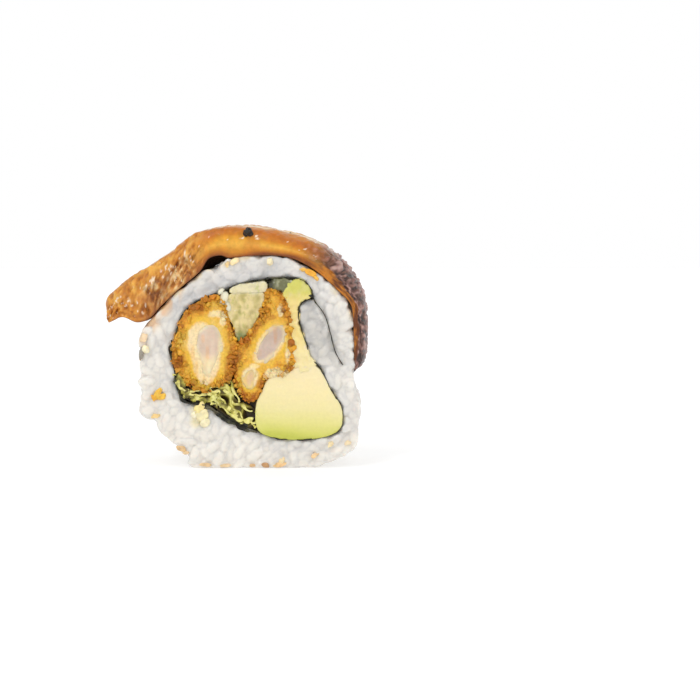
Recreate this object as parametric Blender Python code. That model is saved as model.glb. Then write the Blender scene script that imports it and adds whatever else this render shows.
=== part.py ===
"""A piece of tiger roll: an inside-out sushi roll, cut thick, with a slab of grilled eel draped over it.

The frame has X across the cut face, Y along the roll, away from the front cut face, and Z up.
The origin is the middle of the piece's box in X and Y, on the board that it stands on.
Outlines are (x, z) points in millimetres, seen from the front, joined by smooth curves.
"""

import math
import random

import bmesh
import bpy
import numpy as np
from mathutils import Matrix, Vector, noise

MM = 0.001

# Driving sizes, in millimetres
ROLL_DEPTH = 33.0
BOARD_SIZE = 100.0
FIT_GAP = 0.3
NORI_THICKNESS = 0.5
LEAF_THICKNESS = 0.45
GRAIN_LENGTH = 6.0
GRAIN_WIDTH = 2.7
BLUNT_END = 1.12
LENGTH_SPREAD = (0.72, 1.0)
WIDTH_SPREAD = (0.85, 1.05)
SEED_LENGTH = 3.0
SEED_WIDTH = 1.7
FLAKE_LENGTH = 3.2
FLAKE_WIDTH = 2.2
EEL_DEPTH = 32.4
EEL_EDGE_RADIUS = 4.0
EDGE_WANDER = 0.35
EDGE_ROUNDNESS = 0.15
CHAR_ROUNDNESS = 0.7
FLAP_SHARE = 0.34
CHAR_SHARE = 0.4
FOLD_HEIGHT = 0.9
WRINKLE_HEIGHT = 0.7
BACKBONE_Y = 1.5
BACKBONE_WIDTH = 1.6
BACKBONE_DEPTH = 0.5
CHAR_SPECK_SIZE = (2.2, 1.6, 1.2)
CHAR_SPECK_AT = (2.6, -13.2, 55.2)
CRAG_DEPTH = 0.35
CRAG_RELIEF = 1.1
CRAG_STEPS = 40
PRAWN_STEPS = 20

# How fast the noise changes, per millimetre, across the cut face and along the roll
RELIEF_WAVE = 0.55
CRAG_WAVE = 0.8
CRAG_WAVE_ALONG = 0.35
FOLD_WAVES = (19, 0.13)
WRINKLE_WAVES = (40, 0.3)

# Heights at which the eel's two ends cover the rice, and under which the rice meets the board
EEL_COVERS_RIGHT = 21.5
EEL_COVERS_LEFT = 29.5
BOARD_TOUCHES = 1.2

# Counts, and how the grains lie
NORI_STEPS = 80
RICE_STEPS = 110
EEL_STATIONS = 40
FACE_TRIES = 4000
SKIN_TRIES = 1400
SEEDS = 26
FLAKES = 8
FACE_PACKING = 0.8
SKIN_PACKING = 0.98
FACE_SINK = (0.0, 0.12)
SKIN_SINK = 0.3
GRAIN_FLATNESS = 0.9
CRUMB_FLATNESS = 0.7
SOFT_EDGE_ANGLE = 65

HALF_DEPTH = ROLL_DEPTH / 2
CORE_HALF_DEPTH = HALF_DEPTH - 0.6
NORI_CLEAR = NORI_THICKNESS / 2 + FIT_GAP

# Outer skin of the rice, clockwise from the top; the stretch under zero becomes the flat base
RICE_OUTLINE = [
    (3.6, 49.1), (9.5, 49.0), (14.0, 47.8), (18.7, 45.0), (22.9, 41.2), (26.0, 38.0),
    (27.1, 34.5), (27.4, 26.2), (27.0, 21.0), (27.4, 17.5), (28.6, 15.2), (28.2, 11.0),
    (27.8, 5.4), (26.2, 3.4), (21.7, 1.2), (14.4, -0.2), (2.0, -0.5), (-10.0, -0.3),
    (-11.6, 2.6), (-16.6, 7.6), (-19.6, 10.6), (-23.0, 12.2), (-22.5, 16.5),
    (-22.7, 24.0), (-22.2, 31.2), (-18.8, 35.7), (-15.6, 39.4), (-9.4, 44.4),
    (-4.5, 46.9), (-0.5, 48.6),
]
# Middle line of the seaweed sheet, from its inner edge over the rice tongue, round the filling
# and down behind the tongue
NORI_PATH = [
    (16.9, 38.6), (15.3, 38.0), (14.8, 36.1), (15.1, 33.0), (16.6, 28.6), (17.4, 25.8),
    (20.0, 23.4), (22.0, 18.6), (24.5, 15.2), (25.0, 11.5), (23.6, 8.2), (18.7, 6.7),
    (13.0, 6.4), (6.5, 7.2), (2.0, 9.0), (-2.8, 11.0), (-6.8, 13.9), (-11.4, 14.6),
    (-13.8, 18.0), (-14.7, 22.5), (-15.8, 26.7), (-14.2, 31.3), (-12.2, 36.2),
    (-6.5, 40.4), (0.7, 43.2), (7.9, 44.5), (15.0, 44.1), (17.4, 41.5), (18.1, 38.8),
    (20.3, 35.2), (21.6, 31.2), (22.6, 27.2), (24.4, 23.9),
]
# Top and underside of the eel, both from the hanging flap at the left to the end at the right
EEL_TOP = [
    (-30.1, 34.6), (-29.6, 39.3), (-24.3, 43.9), (-19.0, 47.2), (-14.8, 50.1),
    (-9.5, 53.8), (-3.8, 55.3), (2.4, 55.4), (10.5, 54.3), (18.1, 51.8), (25.0, 46.7),
    (28.8, 40.7), (30.1, 33.6), (29.7, 26.2), (28.7, 23.0),
]
EEL_UNDERSIDE = [
    (-29.6, 33.5), (-26.3, 34.9), (-22.9, 33.7), (-19.4, 36.3), (-16.2, 40.0),
    (-12.8, 42.6), (-9.9, 45.6), (-6.3, 49.2), (-1.5, 49.6), (3.6, 49.6), (9.6, 49.5),
    (14.2, 48.3), (19.0, 45.5), (23.3, 41.6), (26.5, 38.3), (27.6, 34.6), (27.9, 26.2),
    (27.9, 23.2),
]
BATTER_LEFT = [
    (-3.6, 39.6), (-6.6, 39.1), (-9.1, 38.0), (-11.3, 36.2), (-12.4, 34.2),
    (-13.3, 31.8), (-14.1, 29.2), (-14.4, 26.0), (-13.8, 23.3), (-12.1, 21.2),
    (-10.0, 19.5), (-7.9, 18.6), (-5.4, 19.2), (-2.6, 20.6), (-0.8, 22.6), (-0.2, 25.3),
    (-0.4, 28.0), (-0.9, 30.4), (-1.8, 32.7), (-2.5, 35.4), (-2.8, 38.0),
]
PRAWN_LEFT = [
    (-6.3, 33.6), (-8.9, 32.0), (-9.6, 28.8), (-8.8, 25.2), (-7.3, 22.2), (-6.3, 21.5),
    (-5.0, 22.8), (-3.6, 26.5), (-3.2, 30.5), (-4.2, 33.0),
]
BATTER_RIGHT = [
    (7.7, 41.0), (9.6, 40.5), (10.8, 39.0), (11.4, 37.3), (11.9, 35.0), (12.4, 30.4),
    (12.7, 26.7), (12.6, 23.3), (10.7, 21.9), (8.6, 21.5), (6.6, 21.2), (5.9, 19.8),
    (4.8, 17.5), (3.8, 16.1), (2.6, 15.6), (1.5, 16.8), (0.7, 18.9), (0.1, 21.6),
    (0.1, 25.3), (0.2, 28.0), (1.5, 29.4), (3.5, 31.5), (5.1, 34.0), (6.1, 36.3),
    (6.7, 38.6), (7.1, 40.3),
]
PRAWN_RIGHT = [
    (9.6, 33.3), (7.6, 32.3), (5.6, 30.0), (4.3, 26.8), (4.6, 24.6), (6.8, 24.9),
    (9.6, 27.2), (11.0, 29.8), (11.2, 32.2),
]
PRAWN_TAIL = [
    (3.5, 23.2), (1.9, 22.4), (1.5, 20.6), (2.2, 18.8), (3.6, 18.6), (4.4, 20.4),
    (4.5, 22.2),
]
AVOCADO_WEDGE = [
    (7.6, 20.3), (9.8, 20.9), (11.8, 21.6), (13.2, 22.5), (15.5, 23.1), (17.4, 23.3),
    (18.7, 22.6), (20.2, 20.2), (21.6, 17.5), (23.2, 15.0), (24.0, 12.6), (23.9, 10.6),
    (23.0, 9.0), (20.8, 7.9), (17.0, 7.2), (13.0, 7.1), (9.5, 7.4), (6.3, 8.3),
    (5.0, 9.9), (4.8, 12.9), (5.2, 15.4), (6.4, 17.9),
]
AVOCADO_SLICE = [
    (12.7, 42.9), (14.8, 43.1), (16.3, 41.6), (16.8, 39.9), (15.6, 39.0), (14.3, 38.2),
    (13.8, 36.4), (14.1, 33.2), (15.4, 29.2), (16.4, 26.0), (17.6, 24.2), (15.6, 23.8),
    (13.7, 23.6), (13.2, 24.4), (13.1, 27.0), (12.8, 30.6), (12.3, 35.2), (11.8, 37.8),
    (11.2, 39.9), (11.7, 42.0),
]
CUCUMBER_WEDGE = [
    (-1.0, 40.0), (2.5, 40.1), (6.1, 40.1), (5.6, 37.6), (4.6, 34.8), (3.1, 32.3),
    (1.6, 30.5), (0.7, 29.6), (0.1, 30.6), (-0.5, 32.9), (-1.5, 35.4), (-2.0, 38.2),
]
CUCUMBER_BLOCK = [
    (-1.0, 40.7), (-0.9, 41.4), (0.8, 42.2), (3.4, 42.4), (6.3, 43.0), (6.5, 41.0),
    (2.8, 40.8),
]
CUCUMBER_SLIVER = [
    (8.1, 42.2), (8.4, 43.3), (10.2, 43.6), (11.3, 43.0), (10.6, 41.9), (9.2, 41.7),
]
# Middle lines of the lettuce leaves
LEAF_UPPER = [
    (-13.3, 20.2), (-12.6, 18.9), (-11.0, 17.8), (-8.4, 17.0), (-5.4, 17.5), (-3.2, 18.3),
    (-1.4, 18.0), (0.2, 15.7), (1.6, 13.9), (3.7, 13.0),
]
LEAF_LOWER = [
    (-12.0, 16.5), (-9.0, 15.7), (-6.3, 15.5), (-4.0, 14.8), (-2.2, 13.4), (-0.3, 11.9),
    (1.6, 11.0), (3.7, 10.5),
]

# Name, kind, outline, points round it, rings of points on its cut faces and their relief
FILLINGS = [
    ("prawn_left", "prawn", PRAWN_LEFT, PRAWN_STEPS, 2, 0.5),
    ("prawn_right", "prawn", PRAWN_RIGHT, PRAWN_STEPS, 2, 0.5),
    ("prawn_tail", "prawn", PRAWN_TAIL, 14, 1, 0.5),
    ("avocado_wedge", "avocado", AVOCADO_WEDGE, 34, 2, 0.15),
    ("avocado_slice", "avocado", AVOCADO_SLICE, 36, 0, 0),
    ("cucumber_wedge", "cucumber", CUCUMBER_WEDGE, 20, 2, 0.4),
    ("cucumber_block", "cucumber", CUCUMBER_BLOCK, 18, 1, 0.3),
    ("cucumber_sliver", "cucumber", CUCUMBER_SLIVER, 14, 0, 0),
]
# Name, middle line, points along it, ripples and their height
LEAVES = [
    ("lettuce_upper", LEAF_UPPER, 34, 5, 0.32),
    ("lettuce_lower", LEAF_LOWER, 28, 5, 0.26),
]

# Colours as base colour and roughness, for the plain look of each sub-part
LOOKS = {
    "rice": ((0.86, 0.83, 0.76), 0.45),
    "nori": ((0.016, 0.02, 0.008), 0.55),
    "eel": ((0.60, 0.25, 0.05), 0.28),
    "batter": ((0.80, 0.42, 0.06), 0.7),
    "prawn": ((0.74, 0.60, 0.50), 0.35),
    "avocado": ((0.88, 0.80, 0.35), 0.4),
    "cucumber": ((0.70, 0.66, 0.32), 0.3),
    "lettuce": ((0.42, 0.46, 0.12), 0.45),
}


def smooth_curve(points, count, closed):
    """Points spaced evenly along a Catmull-Rom curve through the given points."""
    p = np.array(points, float)
    if closed:
        p = np.vstack([p[-1], p, p[0], p[1]])
    else:
        p = np.vstack([2 * p[0] - p[1], p, 2 * p[-1] - p[-2]])
    steps = np.linspace(0, 1, 12, endpoint=False)[:, None]
    runs = []
    for a, b, c, d in zip(p, p[1:], p[2:], p[3:]):
        bend = 2 * a - 5 * b + 4 * c - d
        twist = -a + 3 * b - 3 * c + d
        runs.append(0.5 * (2 * b + (c - a) * steps + bend * steps**2 + twist * steps**3))
    fine = np.vstack([*runs, p[-2:-1]])
    length = np.concatenate([[0], np.cumsum(np.linalg.norm(np.diff(fine, axis=0), axis=1))])
    at = np.linspace(0, length[-1], count + 1 if closed else count)
    even = np.stack([np.interp(at, length, fine[:, k]) for k in (0, 1)], axis=1)
    return even[:-1] if closed else even


def side_of(path):
    """Unit normals on the left of a path, which is the rice's side of the seaweed."""
    ahead = np.gradient(path, axis=0)
    ahead /= np.linalg.norm(ahead, axis=1)[:, None]
    return np.stack([-ahead[:, 1], ahead[:, 0]], axis=1)


def distance_to(outline, point):
    """Distance from a point to a closed outline, positive inside it."""
    a = outline
    b = np.roll(outline, -1, axis=0)
    run = b - a
    share = np.clip(((point - a) * run).sum(1) / (run**2).sum(1), 0, 1)
    nearest = np.linalg.norm(a + run * share[:, None] - point, axis=1).min()
    crossing = (a[:, 1] > point[1]) != (b[:, 1] > point[1])
    reach = a[:, 0] + (point[1] - a[:, 1]) * run[:, 0] / np.where(run[:, 1] == 0, 1e-9, run[:, 1])
    inside = np.count_nonzero(crossing & (point[0] < reach)) % 2 == 1
    return nearest if inside else -nearest


def outward_of(outline):
    """Unit normals that point out of a closed outline, whichever way it winds."""
    ahead = np.roll(outline, -1, axis=0) - np.roll(outline, 1, axis=0)
    ahead /= np.linalg.norm(ahead, axis=1)[:, None]
    side = np.stack([-ahead[:, 1], ahead[:, 0]], axis=1)
    return -side if distance_to(outline, outline[0] + side[0] * 0.05) > 0 else side


def material(kind):
    found = bpy.data.materials.get(kind)
    if found:
        return found
    colour, roughness = LOOKS[kind]
    made = bpy.data.materials.new(kind)
    made.use_nodes = True
    shader = made.node_tree.nodes["Principled BSDF"]
    shader.inputs["Base Color"].default_value = (*colour, 1)
    shader.inputs["Roughness"].default_value = roughness
    shader.inputs["Metallic"].default_value = 0
    return made


def add_object(name, bm, kind):
    """Makes a named object from a bmesh in millimetres."""
    bmesh.ops.recalc_face_normals(bm, faces=bm.faces)
    bmesh.ops.scale(bm, vec=(MM, MM, MM), verts=bm.verts)
    mesh = bpy.data.meshes.new(name)
    bm.to_mesh(mesh)
    bm.free()
    mesh.materials.append(material(kind))
    mesh.shade_smooth()
    mesh.set_sharp_from_angle(angle=math.radians(SOFT_EDGE_ANGLE))
    obj = bpy.data.objects.new(name, mesh)
    bpy.context.scene.collection.objects.link(obj)
    return obj


def ring_prism(outline, half_depth, slices=1, wander=None, rings=0, relief=0.0, seed=0):
    """A solid with this outline along Y. Its skin wanders in and out between slices, and its cut
    faces have rings of points that stand in and out by the relief."""
    bm = bmesh.new()
    centre = outline.mean(0)
    loops = []
    for k in range(slices + 1):
        y = -half_depth + 2 * half_depth * k / slices
        shape = outline if wander is None else wander(outline, y)
        loops.append([bm.verts.new((x, y, z)) for x, z in shape])
    for low, high in zip(loops, loops[1:]):
        bridge(bm, low, high)
    for end, loop in ((-1, loops[0]), (1, loops[-1])):
        if not rings:
            bm.faces.new(loop)
            continue
        edge = loop
        for r in range(1, rings + 1):
            share = 1 - r / (rings + 1)
            inner = []
            for vert in loop:
                x = centre[0] + (vert.co.x - centre[0]) * share
                z = centre[1] + (vert.co.z - centre[1]) * share
                lift = relief * noise.noise(Vector((x * RELIEF_WAVE, seed + end / 2, z * RELIEF_WAVE)))
                inner.append(bm.verts.new((x, end * (half_depth + lift), z)))
            bridge(bm, edge, inner)
            edge = inner
        middle = bm.verts.new((centre[0], end * half_depth, centre[1]))
        for a, b in zip(edge, edge[1:] + edge[:1]):
            bm.faces.new((a, b, middle))
    return bm


def bridge(bm, first, second):
    """Quads between two closed loops with the same number of points."""
    count = len(first)
    for i in range(count):
        j = (i + 1) % count
        bm.faces.new((first[i], first[j], second[j], second[i]))


def strip_solid(path, thickness, half_depth, slices, wave=None):
    """A thin sheet along Y that follows a path, with both faces split alike."""
    bm = bmesh.new()
    rows = []
    for k in range(slices + 1):
        y = -half_depth + 2 * half_depth * k / slices
        line = path if wave is None else wave(path, y)
        side = side_of(line) * thickness / 2
        left = [bm.verts.new((x, y, z)) for x, z in line + side]
        right = [bm.verts.new((x, y, z)) for x, z in line - side]
        rows.append(left + right[::-1])
    for low, high in zip(rows, rows[1:]):
        bridge(bm, low, high)
    last = 2 * len(path) - 1
    for row in (rows[0], rows[-1]):
        for i in range(len(path) - 1):
            bm.faces.new((row[i], row[i + 1], row[last - i - 1], row[last - i]))
    return bm


def settle(obj):
    """Turns an object's modifiers into its mesh."""
    graph = bpy.context.evaluated_depsgraph_get()
    solid = bpy.data.meshes.new_from_object(obj.evaluated_get(graph))
    obj.modifiers.clear()
    obj.data = solid


def keep_main_body(obj):
    """Drops loose scraps and sealed hollows, which are all smaller than the main body."""
    bm = bmesh.new()
    bm.from_mesh(obj.data)
    bm.verts.ensure_lookup_table()
    island = [-1] * len(bm.verts)
    sizes = []
    for start in bm.verts:
        if island[start.index] >= 0:
            continue
        stack = [start]
        island[start.index] = len(sizes)
        size = 0
        while stack:
            vert = stack.pop()
            size += 1
            for edge in vert.link_edges:
                other = edge.other_vert(vert)
                if island[other.index] < 0:
                    island[other.index] = len(sizes)
                    stack.append(other)
        sizes.append(size)
    main = sizes.index(max(sizes))
    scraps = [v for v in bm.verts if island[v.index] != main]
    bmesh.ops.delete(bm, geom=scraps, context="VERTS")
    bm.to_mesh(obj.data)
    bm.free()


def fuse(obj, pieces):
    """Joins pieces to an object with one Boolean union on their collection."""
    group = bpy.data.collections.new(obj.name + "_pieces")
    bpy.context.scene.collection.children.link(group)
    for piece in pieces:
        bpy.context.scene.collection.objects.unlink(piece)
        group.objects.link(piece)
    union = obj.modifiers.new("fuse", "BOOLEAN")
    union.operation = "UNION"
    union.operand_type = "COLLECTION"
    union.collection = group
    union.solver = "EXACT"
    settle(obj)
    for piece in pieces:
        bpy.data.objects.remove(piece)
    bpy.data.collections.remove(group)
    keep_main_body(obj)


def cut(obj, cutter):
    """Takes a cutter's shape out of an object, then removes the cutter."""
    difference = obj.modifiers.new("cut", "BOOLEAN")
    difference.operation = "DIFFERENCE"
    difference.object = cutter
    difference.solver = "EXACT"
    settle(obj)
    bpy.data.objects.remove(cutter)


def add_lump(kind, at, size, ahead, up, segments=5, rings=4):
    """A grain, seed, flake or crumb: a small solid of few sides, long along ahead."""
    bm = bmesh.new()
    bmesh.ops.create_uvsphere(bm, u_segments=segments, v_segments=rings, radius=0.5)
    for vert in bm.verts:
        if 0.1 < abs(vert.co.z) < 0.45:
            vert.co.x *= BLUNT_END
            vert.co.y *= BLUNT_END
    ahead = Vector(ahead).normalized()
    across = Vector(up).cross(ahead).normalized()
    turn = Matrix((across, ahead.cross(across), ahead)).transposed().to_4x4()
    stretch = Matrix.Diagonal((size[1], size[2], size[0], 1))
    bmesh.ops.transform(bm, matrix=Matrix.Translation(at) @ turn @ stretch, verts=bm.verts)
    return add_object("lump", bm, kind)


def nori_sides():
    """The seaweed's middle line and its normals."""
    path = smooth_curve(NORI_PATH, NORI_STEPS, closed=False)
    return path, side_of(path)


def rice_hole():
    """The hole in the rice: the filling, the seaweed round it, and the slot that the seaweed's
    outer end fills behind the rice tongue."""
    path, side = nori_sides()
    last_quarter = 3 * len(path) // 4
    gaps = np.linalg.norm(path[last_quarter:] - path[0], axis=1)
    tongue_top = last_quarter + int(gaps.argmin())
    outside = path + side * NORI_CLEAR
    behind_tongue = (path - side * NORI_CLEAR)[tongue_top:][::-1]
    end = path[-1] + (path[-1] - path[-2]) / np.linalg.norm(path[-1] - path[-2]) * FIT_GAP
    return np.vstack([outside, end, behind_tongue])


def grain_spots(at, along, length, width):
    """The middle and both ends of a grain, which stand for it when it is tested against others."""
    half = along * (length - width) / 2
    return (at - half, at, at + half)


def face_grains(rng, outline, hole):
    """Grains that lie in both cut faces, as close as they fit, clear of the hole."""
    low, high = outline.min(0), outline.max(0)
    made = []
    for end in (-1, 1):
        taken = []
        for _ in range(FACE_TRIES):
            at = np.array((rng.uniform(low[0], high[0]), rng.uniform(low[1], high[1])))
            angle = rng.uniform(0, math.pi)
            along = np.array((math.cos(angle), math.sin(angle)))
            length = GRAIN_LENGTH * rng.uniform(*LENGTH_SPREAD)
            width = GRAIN_WIDTH * rng.uniform(*WIDTH_SPREAD)
            spots = grain_spots(at, along, length, width)
            if min(distance_to(outline, s) for s in spots) < width * 0.45:
                continue
            if max(distance_to(hole, s) for s in spots) > -width * 0.55:
                continue
            if any(np.linalg.norm(s - t) < width * FACE_PACKING for s in spots for t in taken):
                continue
            taken.extend(spots)
            y = end * (CORE_HALF_DEPTH - width * rng.uniform(*FACE_SINK))
            size = (length, width, width * GRAIN_FLATNESS)
            made.append(add_lump("rice", (at[0], y, at[1]), size, (along[0], 0, along[1]), (0, 1, 0)))
    return made


def bare_skin(outline):
    """Places along the rice's outer skin that neither the eel nor the board covers."""
    outward = outward_of(outline)
    ahead = np.stack([outward[:, 1], -outward[:, 0]], axis=1)
    places = []
    for point, forward, out in zip(outline, ahead, outward):
        covered_from = EEL_COVERS_RIGHT if point[0] > 0 else EEL_COVERS_LEFT
        if BOARD_TOUCHES < point[1] < covered_from:
            places.append((point, forward, out))
    return places


def skin_grains(rng, outline):
    """Sesame seeds, flakes of batter and grains on the outer skin of the rice."""
    places = bare_skin(outline)
    made = []
    taken = []
    kinds = [
        (SEEDS, SEED_LENGTH, SEED_WIDTH, CRUMB_FLATNESS, 0.0),
        (FLAKES, FLAKE_LENGTH, FLAKE_WIDTH, CRUMB_FLATNESS, 0.0),
        (SKIN_TRIES, GRAIN_LENGTH, GRAIN_WIDTH, GRAIN_FLATNESS, SKIN_SINK),
    ]
    for tries, kind_length, kind_width, flatness, sink in kinds:
        for _ in range(tries):
            point, forward, out = places[rng.randrange(len(places))]
            length = kind_length * rng.uniform(*LENGTH_SPREAD)
            width = kind_width * rng.uniform(*WIDTH_SPREAD)
            y = rng.uniform(-1, 1) * (CORE_HALF_DEPTH - length / 2)
            outward = Vector((out[0], 0, out[1]))
            at = Vector((point[0], y, point[1])) - outward * sink
            angle = rng.uniform(0, math.pi)
            along = Vector((forward[0], 0, forward[1])) * math.cos(angle)
            along.y = math.sin(angle)
            spots = grain_spots(at, along, length, width)
            if any((s - t).length < width * SKIN_PACKING for s in spots for t in taken):
                continue
            taken.extend(spots)
            made.append(add_lump("rice", at, (length, width, width * flatness), along, outward))
    return made


def make_rice():
    rng = random.Random(11)
    outline = smooth_curve(RICE_OUTLINE, RICE_STEPS, closed=True)
    hole = rice_hole()
    rice = add_object("rice", ring_prism(outline, CORE_HALF_DEPTH), "rice")
    cut(rice, add_object("hole", ring_prism(hole, ROLL_DEPTH), "rice"))
    fuse(rice, face_grains(rng, outline, hole) + skin_grains(rng, outline))
    board = bmesh.new()
    bmesh.ops.create_cube(board, size=BOARD_SIZE, matrix=Matrix.Translation((0, 0, -BOARD_SIZE / 2)))
    cut(rice, add_object("board", board, "rice"))


def make_nori():
    path, _ = nori_sides()
    add_object("nori", strip_solid(path, NORI_THICKNESS, HALF_DEPTH, 1), "nori")


def crags(seed):
    """Presses crags that change along Y into an outline, never past it."""

    def wander(outline, y):
        inward = -outward_of(outline)
        moved = []
        for (x, z), side in zip(outline, inward):
            spot = Vector((x * CRAG_WAVE, y * CRAG_WAVE_ALONG + seed, z * CRAG_WAVE))
            press = max(0.0, 0.5 + 0.7 * noise.noise(spot))
            moved.append(np.array((x, z)) + side * CRAG_DEPTH * press)
        return np.array(moved)

    return wander


def make_batter(name, outline, prawns, seed):
    """Fried batter with a craggy skin, and a hole through it for each piece of prawn."""
    skin = smooth_curve(outline, CRAG_STEPS, closed=True)
    solid = ring_prism(skin, HALF_DEPTH, 2, crags(seed), 3, CRAG_RELIEF, seed)
    batter = add_object(name, solid, "batter")
    for prawn in prawns:
        hole = smooth_curve(prawn, PRAWN_STEPS, closed=True)
        grown = hole + outward_of(hole) * FIT_GAP
        cut(batter, add_object("prawn_hole", ring_prism(grown, ROLL_DEPTH), "batter"))
    keep_main_body(batter)


def make_fillings():
    """Plain fillings, which run through the roll with their own outlines."""
    for seed, (name, kind, outline, points, rings, relief) in enumerate(FILLINGS):
        shape = smooth_curve(outline, points, closed=True)
        add_object(name, ring_prism(shape, HALF_DEPTH, 1, None, rings, relief, seed), kind)


def leaf_wave(height, ripples, seed):
    """Ripples along a leaf, which shift along Y and fade at its ends."""

    def wave(path, y):
        share = np.linspace(0, 1, len(path))
        fade = np.sin(math.pi * np.clip(share, 0, 1)) ** 0.5
        lift = height * fade * np.sin(2 * math.pi * ripples * share + 0.25 * y + seed)
        return path + side_of(path) * lift[:, None]

    return wave


def make_leaves():
    """Lettuce leaves, rippled as thin sheets."""
    for seed, (name, path, points, ripples, height) in enumerate(LEAVES):
        line = smooth_curve(path, points, closed=False)
        wave = leaf_wave(height, ripples, seed * 2)
        add_object(name, strip_solid(line, LEAF_THICKNESS, HALF_DEPTH, 3, wave), "lettuce")


def eel_relief(share, y):
    """How far the eel's top stands in or out: folds on the flap, wrinkles on the charred end and
    the groove of the backbone along the middle."""
    fold = noise.noise(Vector((share * FOLD_WAVES[0], y * FOLD_WAVES[1], 3.1)))
    fold *= max(0.0, 1 - share / FLAP_SHARE)
    wrinkle = noise.noise(Vector((share * WRINKLE_WAVES[0], y * WRINKLE_WAVES[1], 8.7)))
    wrinkle *= max(0.0, share - CHAR_SHARE)
    groove = math.exp(-((y - BACKBONE_Y) / BACKBONE_WIDTH) ** 2)
    return FOLD_HEIGHT * fold + WRINKLE_HEIGHT * wrinkle - BACKBONE_DEPTH * groove


def eel_profile(half, roundness):
    """The upper side of a section across the eel, as (y, share of the thickness), with its edges
    rounded off more where the roundness is more."""
    corner = []
    for turn in np.linspace(0, math.pi / 2, 5):
        y = half - EEL_EDGE_RADIUS * (1 - math.cos(turn))
        corner.append((y, 1 - roundness * (1 - math.sin(turn))))
    reach = half - EEL_EDGE_RADIUS
    flat = [(y, 1.0) for y in np.linspace(reach, -reach, 9)[1:-1]]
    return corner + flat + [(-y, height) for y, height in corner[::-1]]


def make_eel():
    """The draped slab of eel, thick and folded at the flap, thin and charred at the far end."""
    top = smooth_curve(EEL_TOP, EEL_STATIONS, closed=False)
    under = smooth_curve(EEL_UNDERSIDE, EEL_STATIONS, closed=False)
    bm = bmesh.new()
    loops = []
    for i in range(EEL_STATIONS):
        share = i / (EEL_STATIONS - 1)
        rise = top[i] - under[i]
        thick = np.linalg.norm(rise)
        roundness = EDGE_ROUNDNESS + CHAR_ROUNDNESS * max(0.0, share - CHAR_SHARE)
        half = EEL_DEPTH / 2 + EDGE_WANDER * noise.noise(Vector((share * 9, 0.0, 1.7)))
        loop = []
        for y, height in eel_profile(half, roundness):
            lift = thick * height + eel_relief(share, y) * min(1.0, thick / 4)
            x, z = under[i] + rise / thick * lift
            loop.append(bm.verts.new((x, y, z)))
        for y in np.linspace(-half, half, 7):
            loop.append(bm.verts.new((under[i][0], y, under[i][1])))
        loops.append(loop)
    for first, second in zip(loops, loops[1:]):
        bridge(bm, first, second)
    bm.faces.new(loops[0])
    bm.faces.new(loops[-1])
    eel = add_object("eel", bm, "eel")
    speck = add_lump("eel", CHAR_SPECK_AT, CHAR_SPECK_SIZE, (1, 0.3, 0), (0, 0, 1), 7, 5)
    fuse(eel, [speck])


def centre_on_origin():
    """Moves everything so that the whole piece's box stands on the origin."""
    parts = [o for o in bpy.context.scene.objects if o.type == "MESH"]
    corners = np.array([v.co for o in parts for v in o.data.vertices])
    low, high = corners.min(0), corners.max(0)
    shift = Vector((-(low[0] + high[0]) / 2, -(low[1] + high[1]) / 2, -low[2]))
    for part in parts:
        part.location = shift


def main():
    for obj in list(bpy.data.objects):
        bpy.data.objects.remove(obj)
    make_rice()
    make_nori()
    make_batter("batter_left", BATTER_LEFT, [PRAWN_LEFT], 2)
    make_batter("batter_right", BATTER_RIGHT, [PRAWN_RIGHT, PRAWN_TAIL], 5)
    make_fillings()
    make_leaves()
    make_eel()
    centre_on_origin()


main()
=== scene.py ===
"""Looks for a piece of tiger roll: rice, seaweed and fillings cut by a knife, under grilled eel.

Shapes are made in millimetres, x across the front cut face, y along the roll and z up, and are
moved into the row frame when they become pieces. Colours are painted on the points as a tone,
which each material takes up and breaks up with fine noise.
"""

import math

import bmesh
import bpy
import numpy as np
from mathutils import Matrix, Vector, geometry, kdtree


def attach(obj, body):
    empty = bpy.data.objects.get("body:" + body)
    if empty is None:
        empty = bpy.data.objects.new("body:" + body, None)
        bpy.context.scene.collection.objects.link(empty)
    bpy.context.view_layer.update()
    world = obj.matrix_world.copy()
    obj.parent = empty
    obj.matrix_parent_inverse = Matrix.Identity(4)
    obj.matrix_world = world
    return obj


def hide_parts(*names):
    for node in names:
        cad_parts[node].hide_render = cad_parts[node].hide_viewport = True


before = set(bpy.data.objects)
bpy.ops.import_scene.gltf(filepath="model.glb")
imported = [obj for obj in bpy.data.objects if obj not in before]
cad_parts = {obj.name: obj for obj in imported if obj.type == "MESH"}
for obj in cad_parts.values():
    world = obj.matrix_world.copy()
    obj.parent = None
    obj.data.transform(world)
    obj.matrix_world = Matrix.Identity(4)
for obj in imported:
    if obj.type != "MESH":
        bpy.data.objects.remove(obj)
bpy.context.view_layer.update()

MM = 0.001
SHIFT = np.array((0.13, 0.01, 0.0))
HALF = 16.5
ENDS = (-1, 1)
# The lowest that anything lies over the board
BOARD = 0.02

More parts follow.
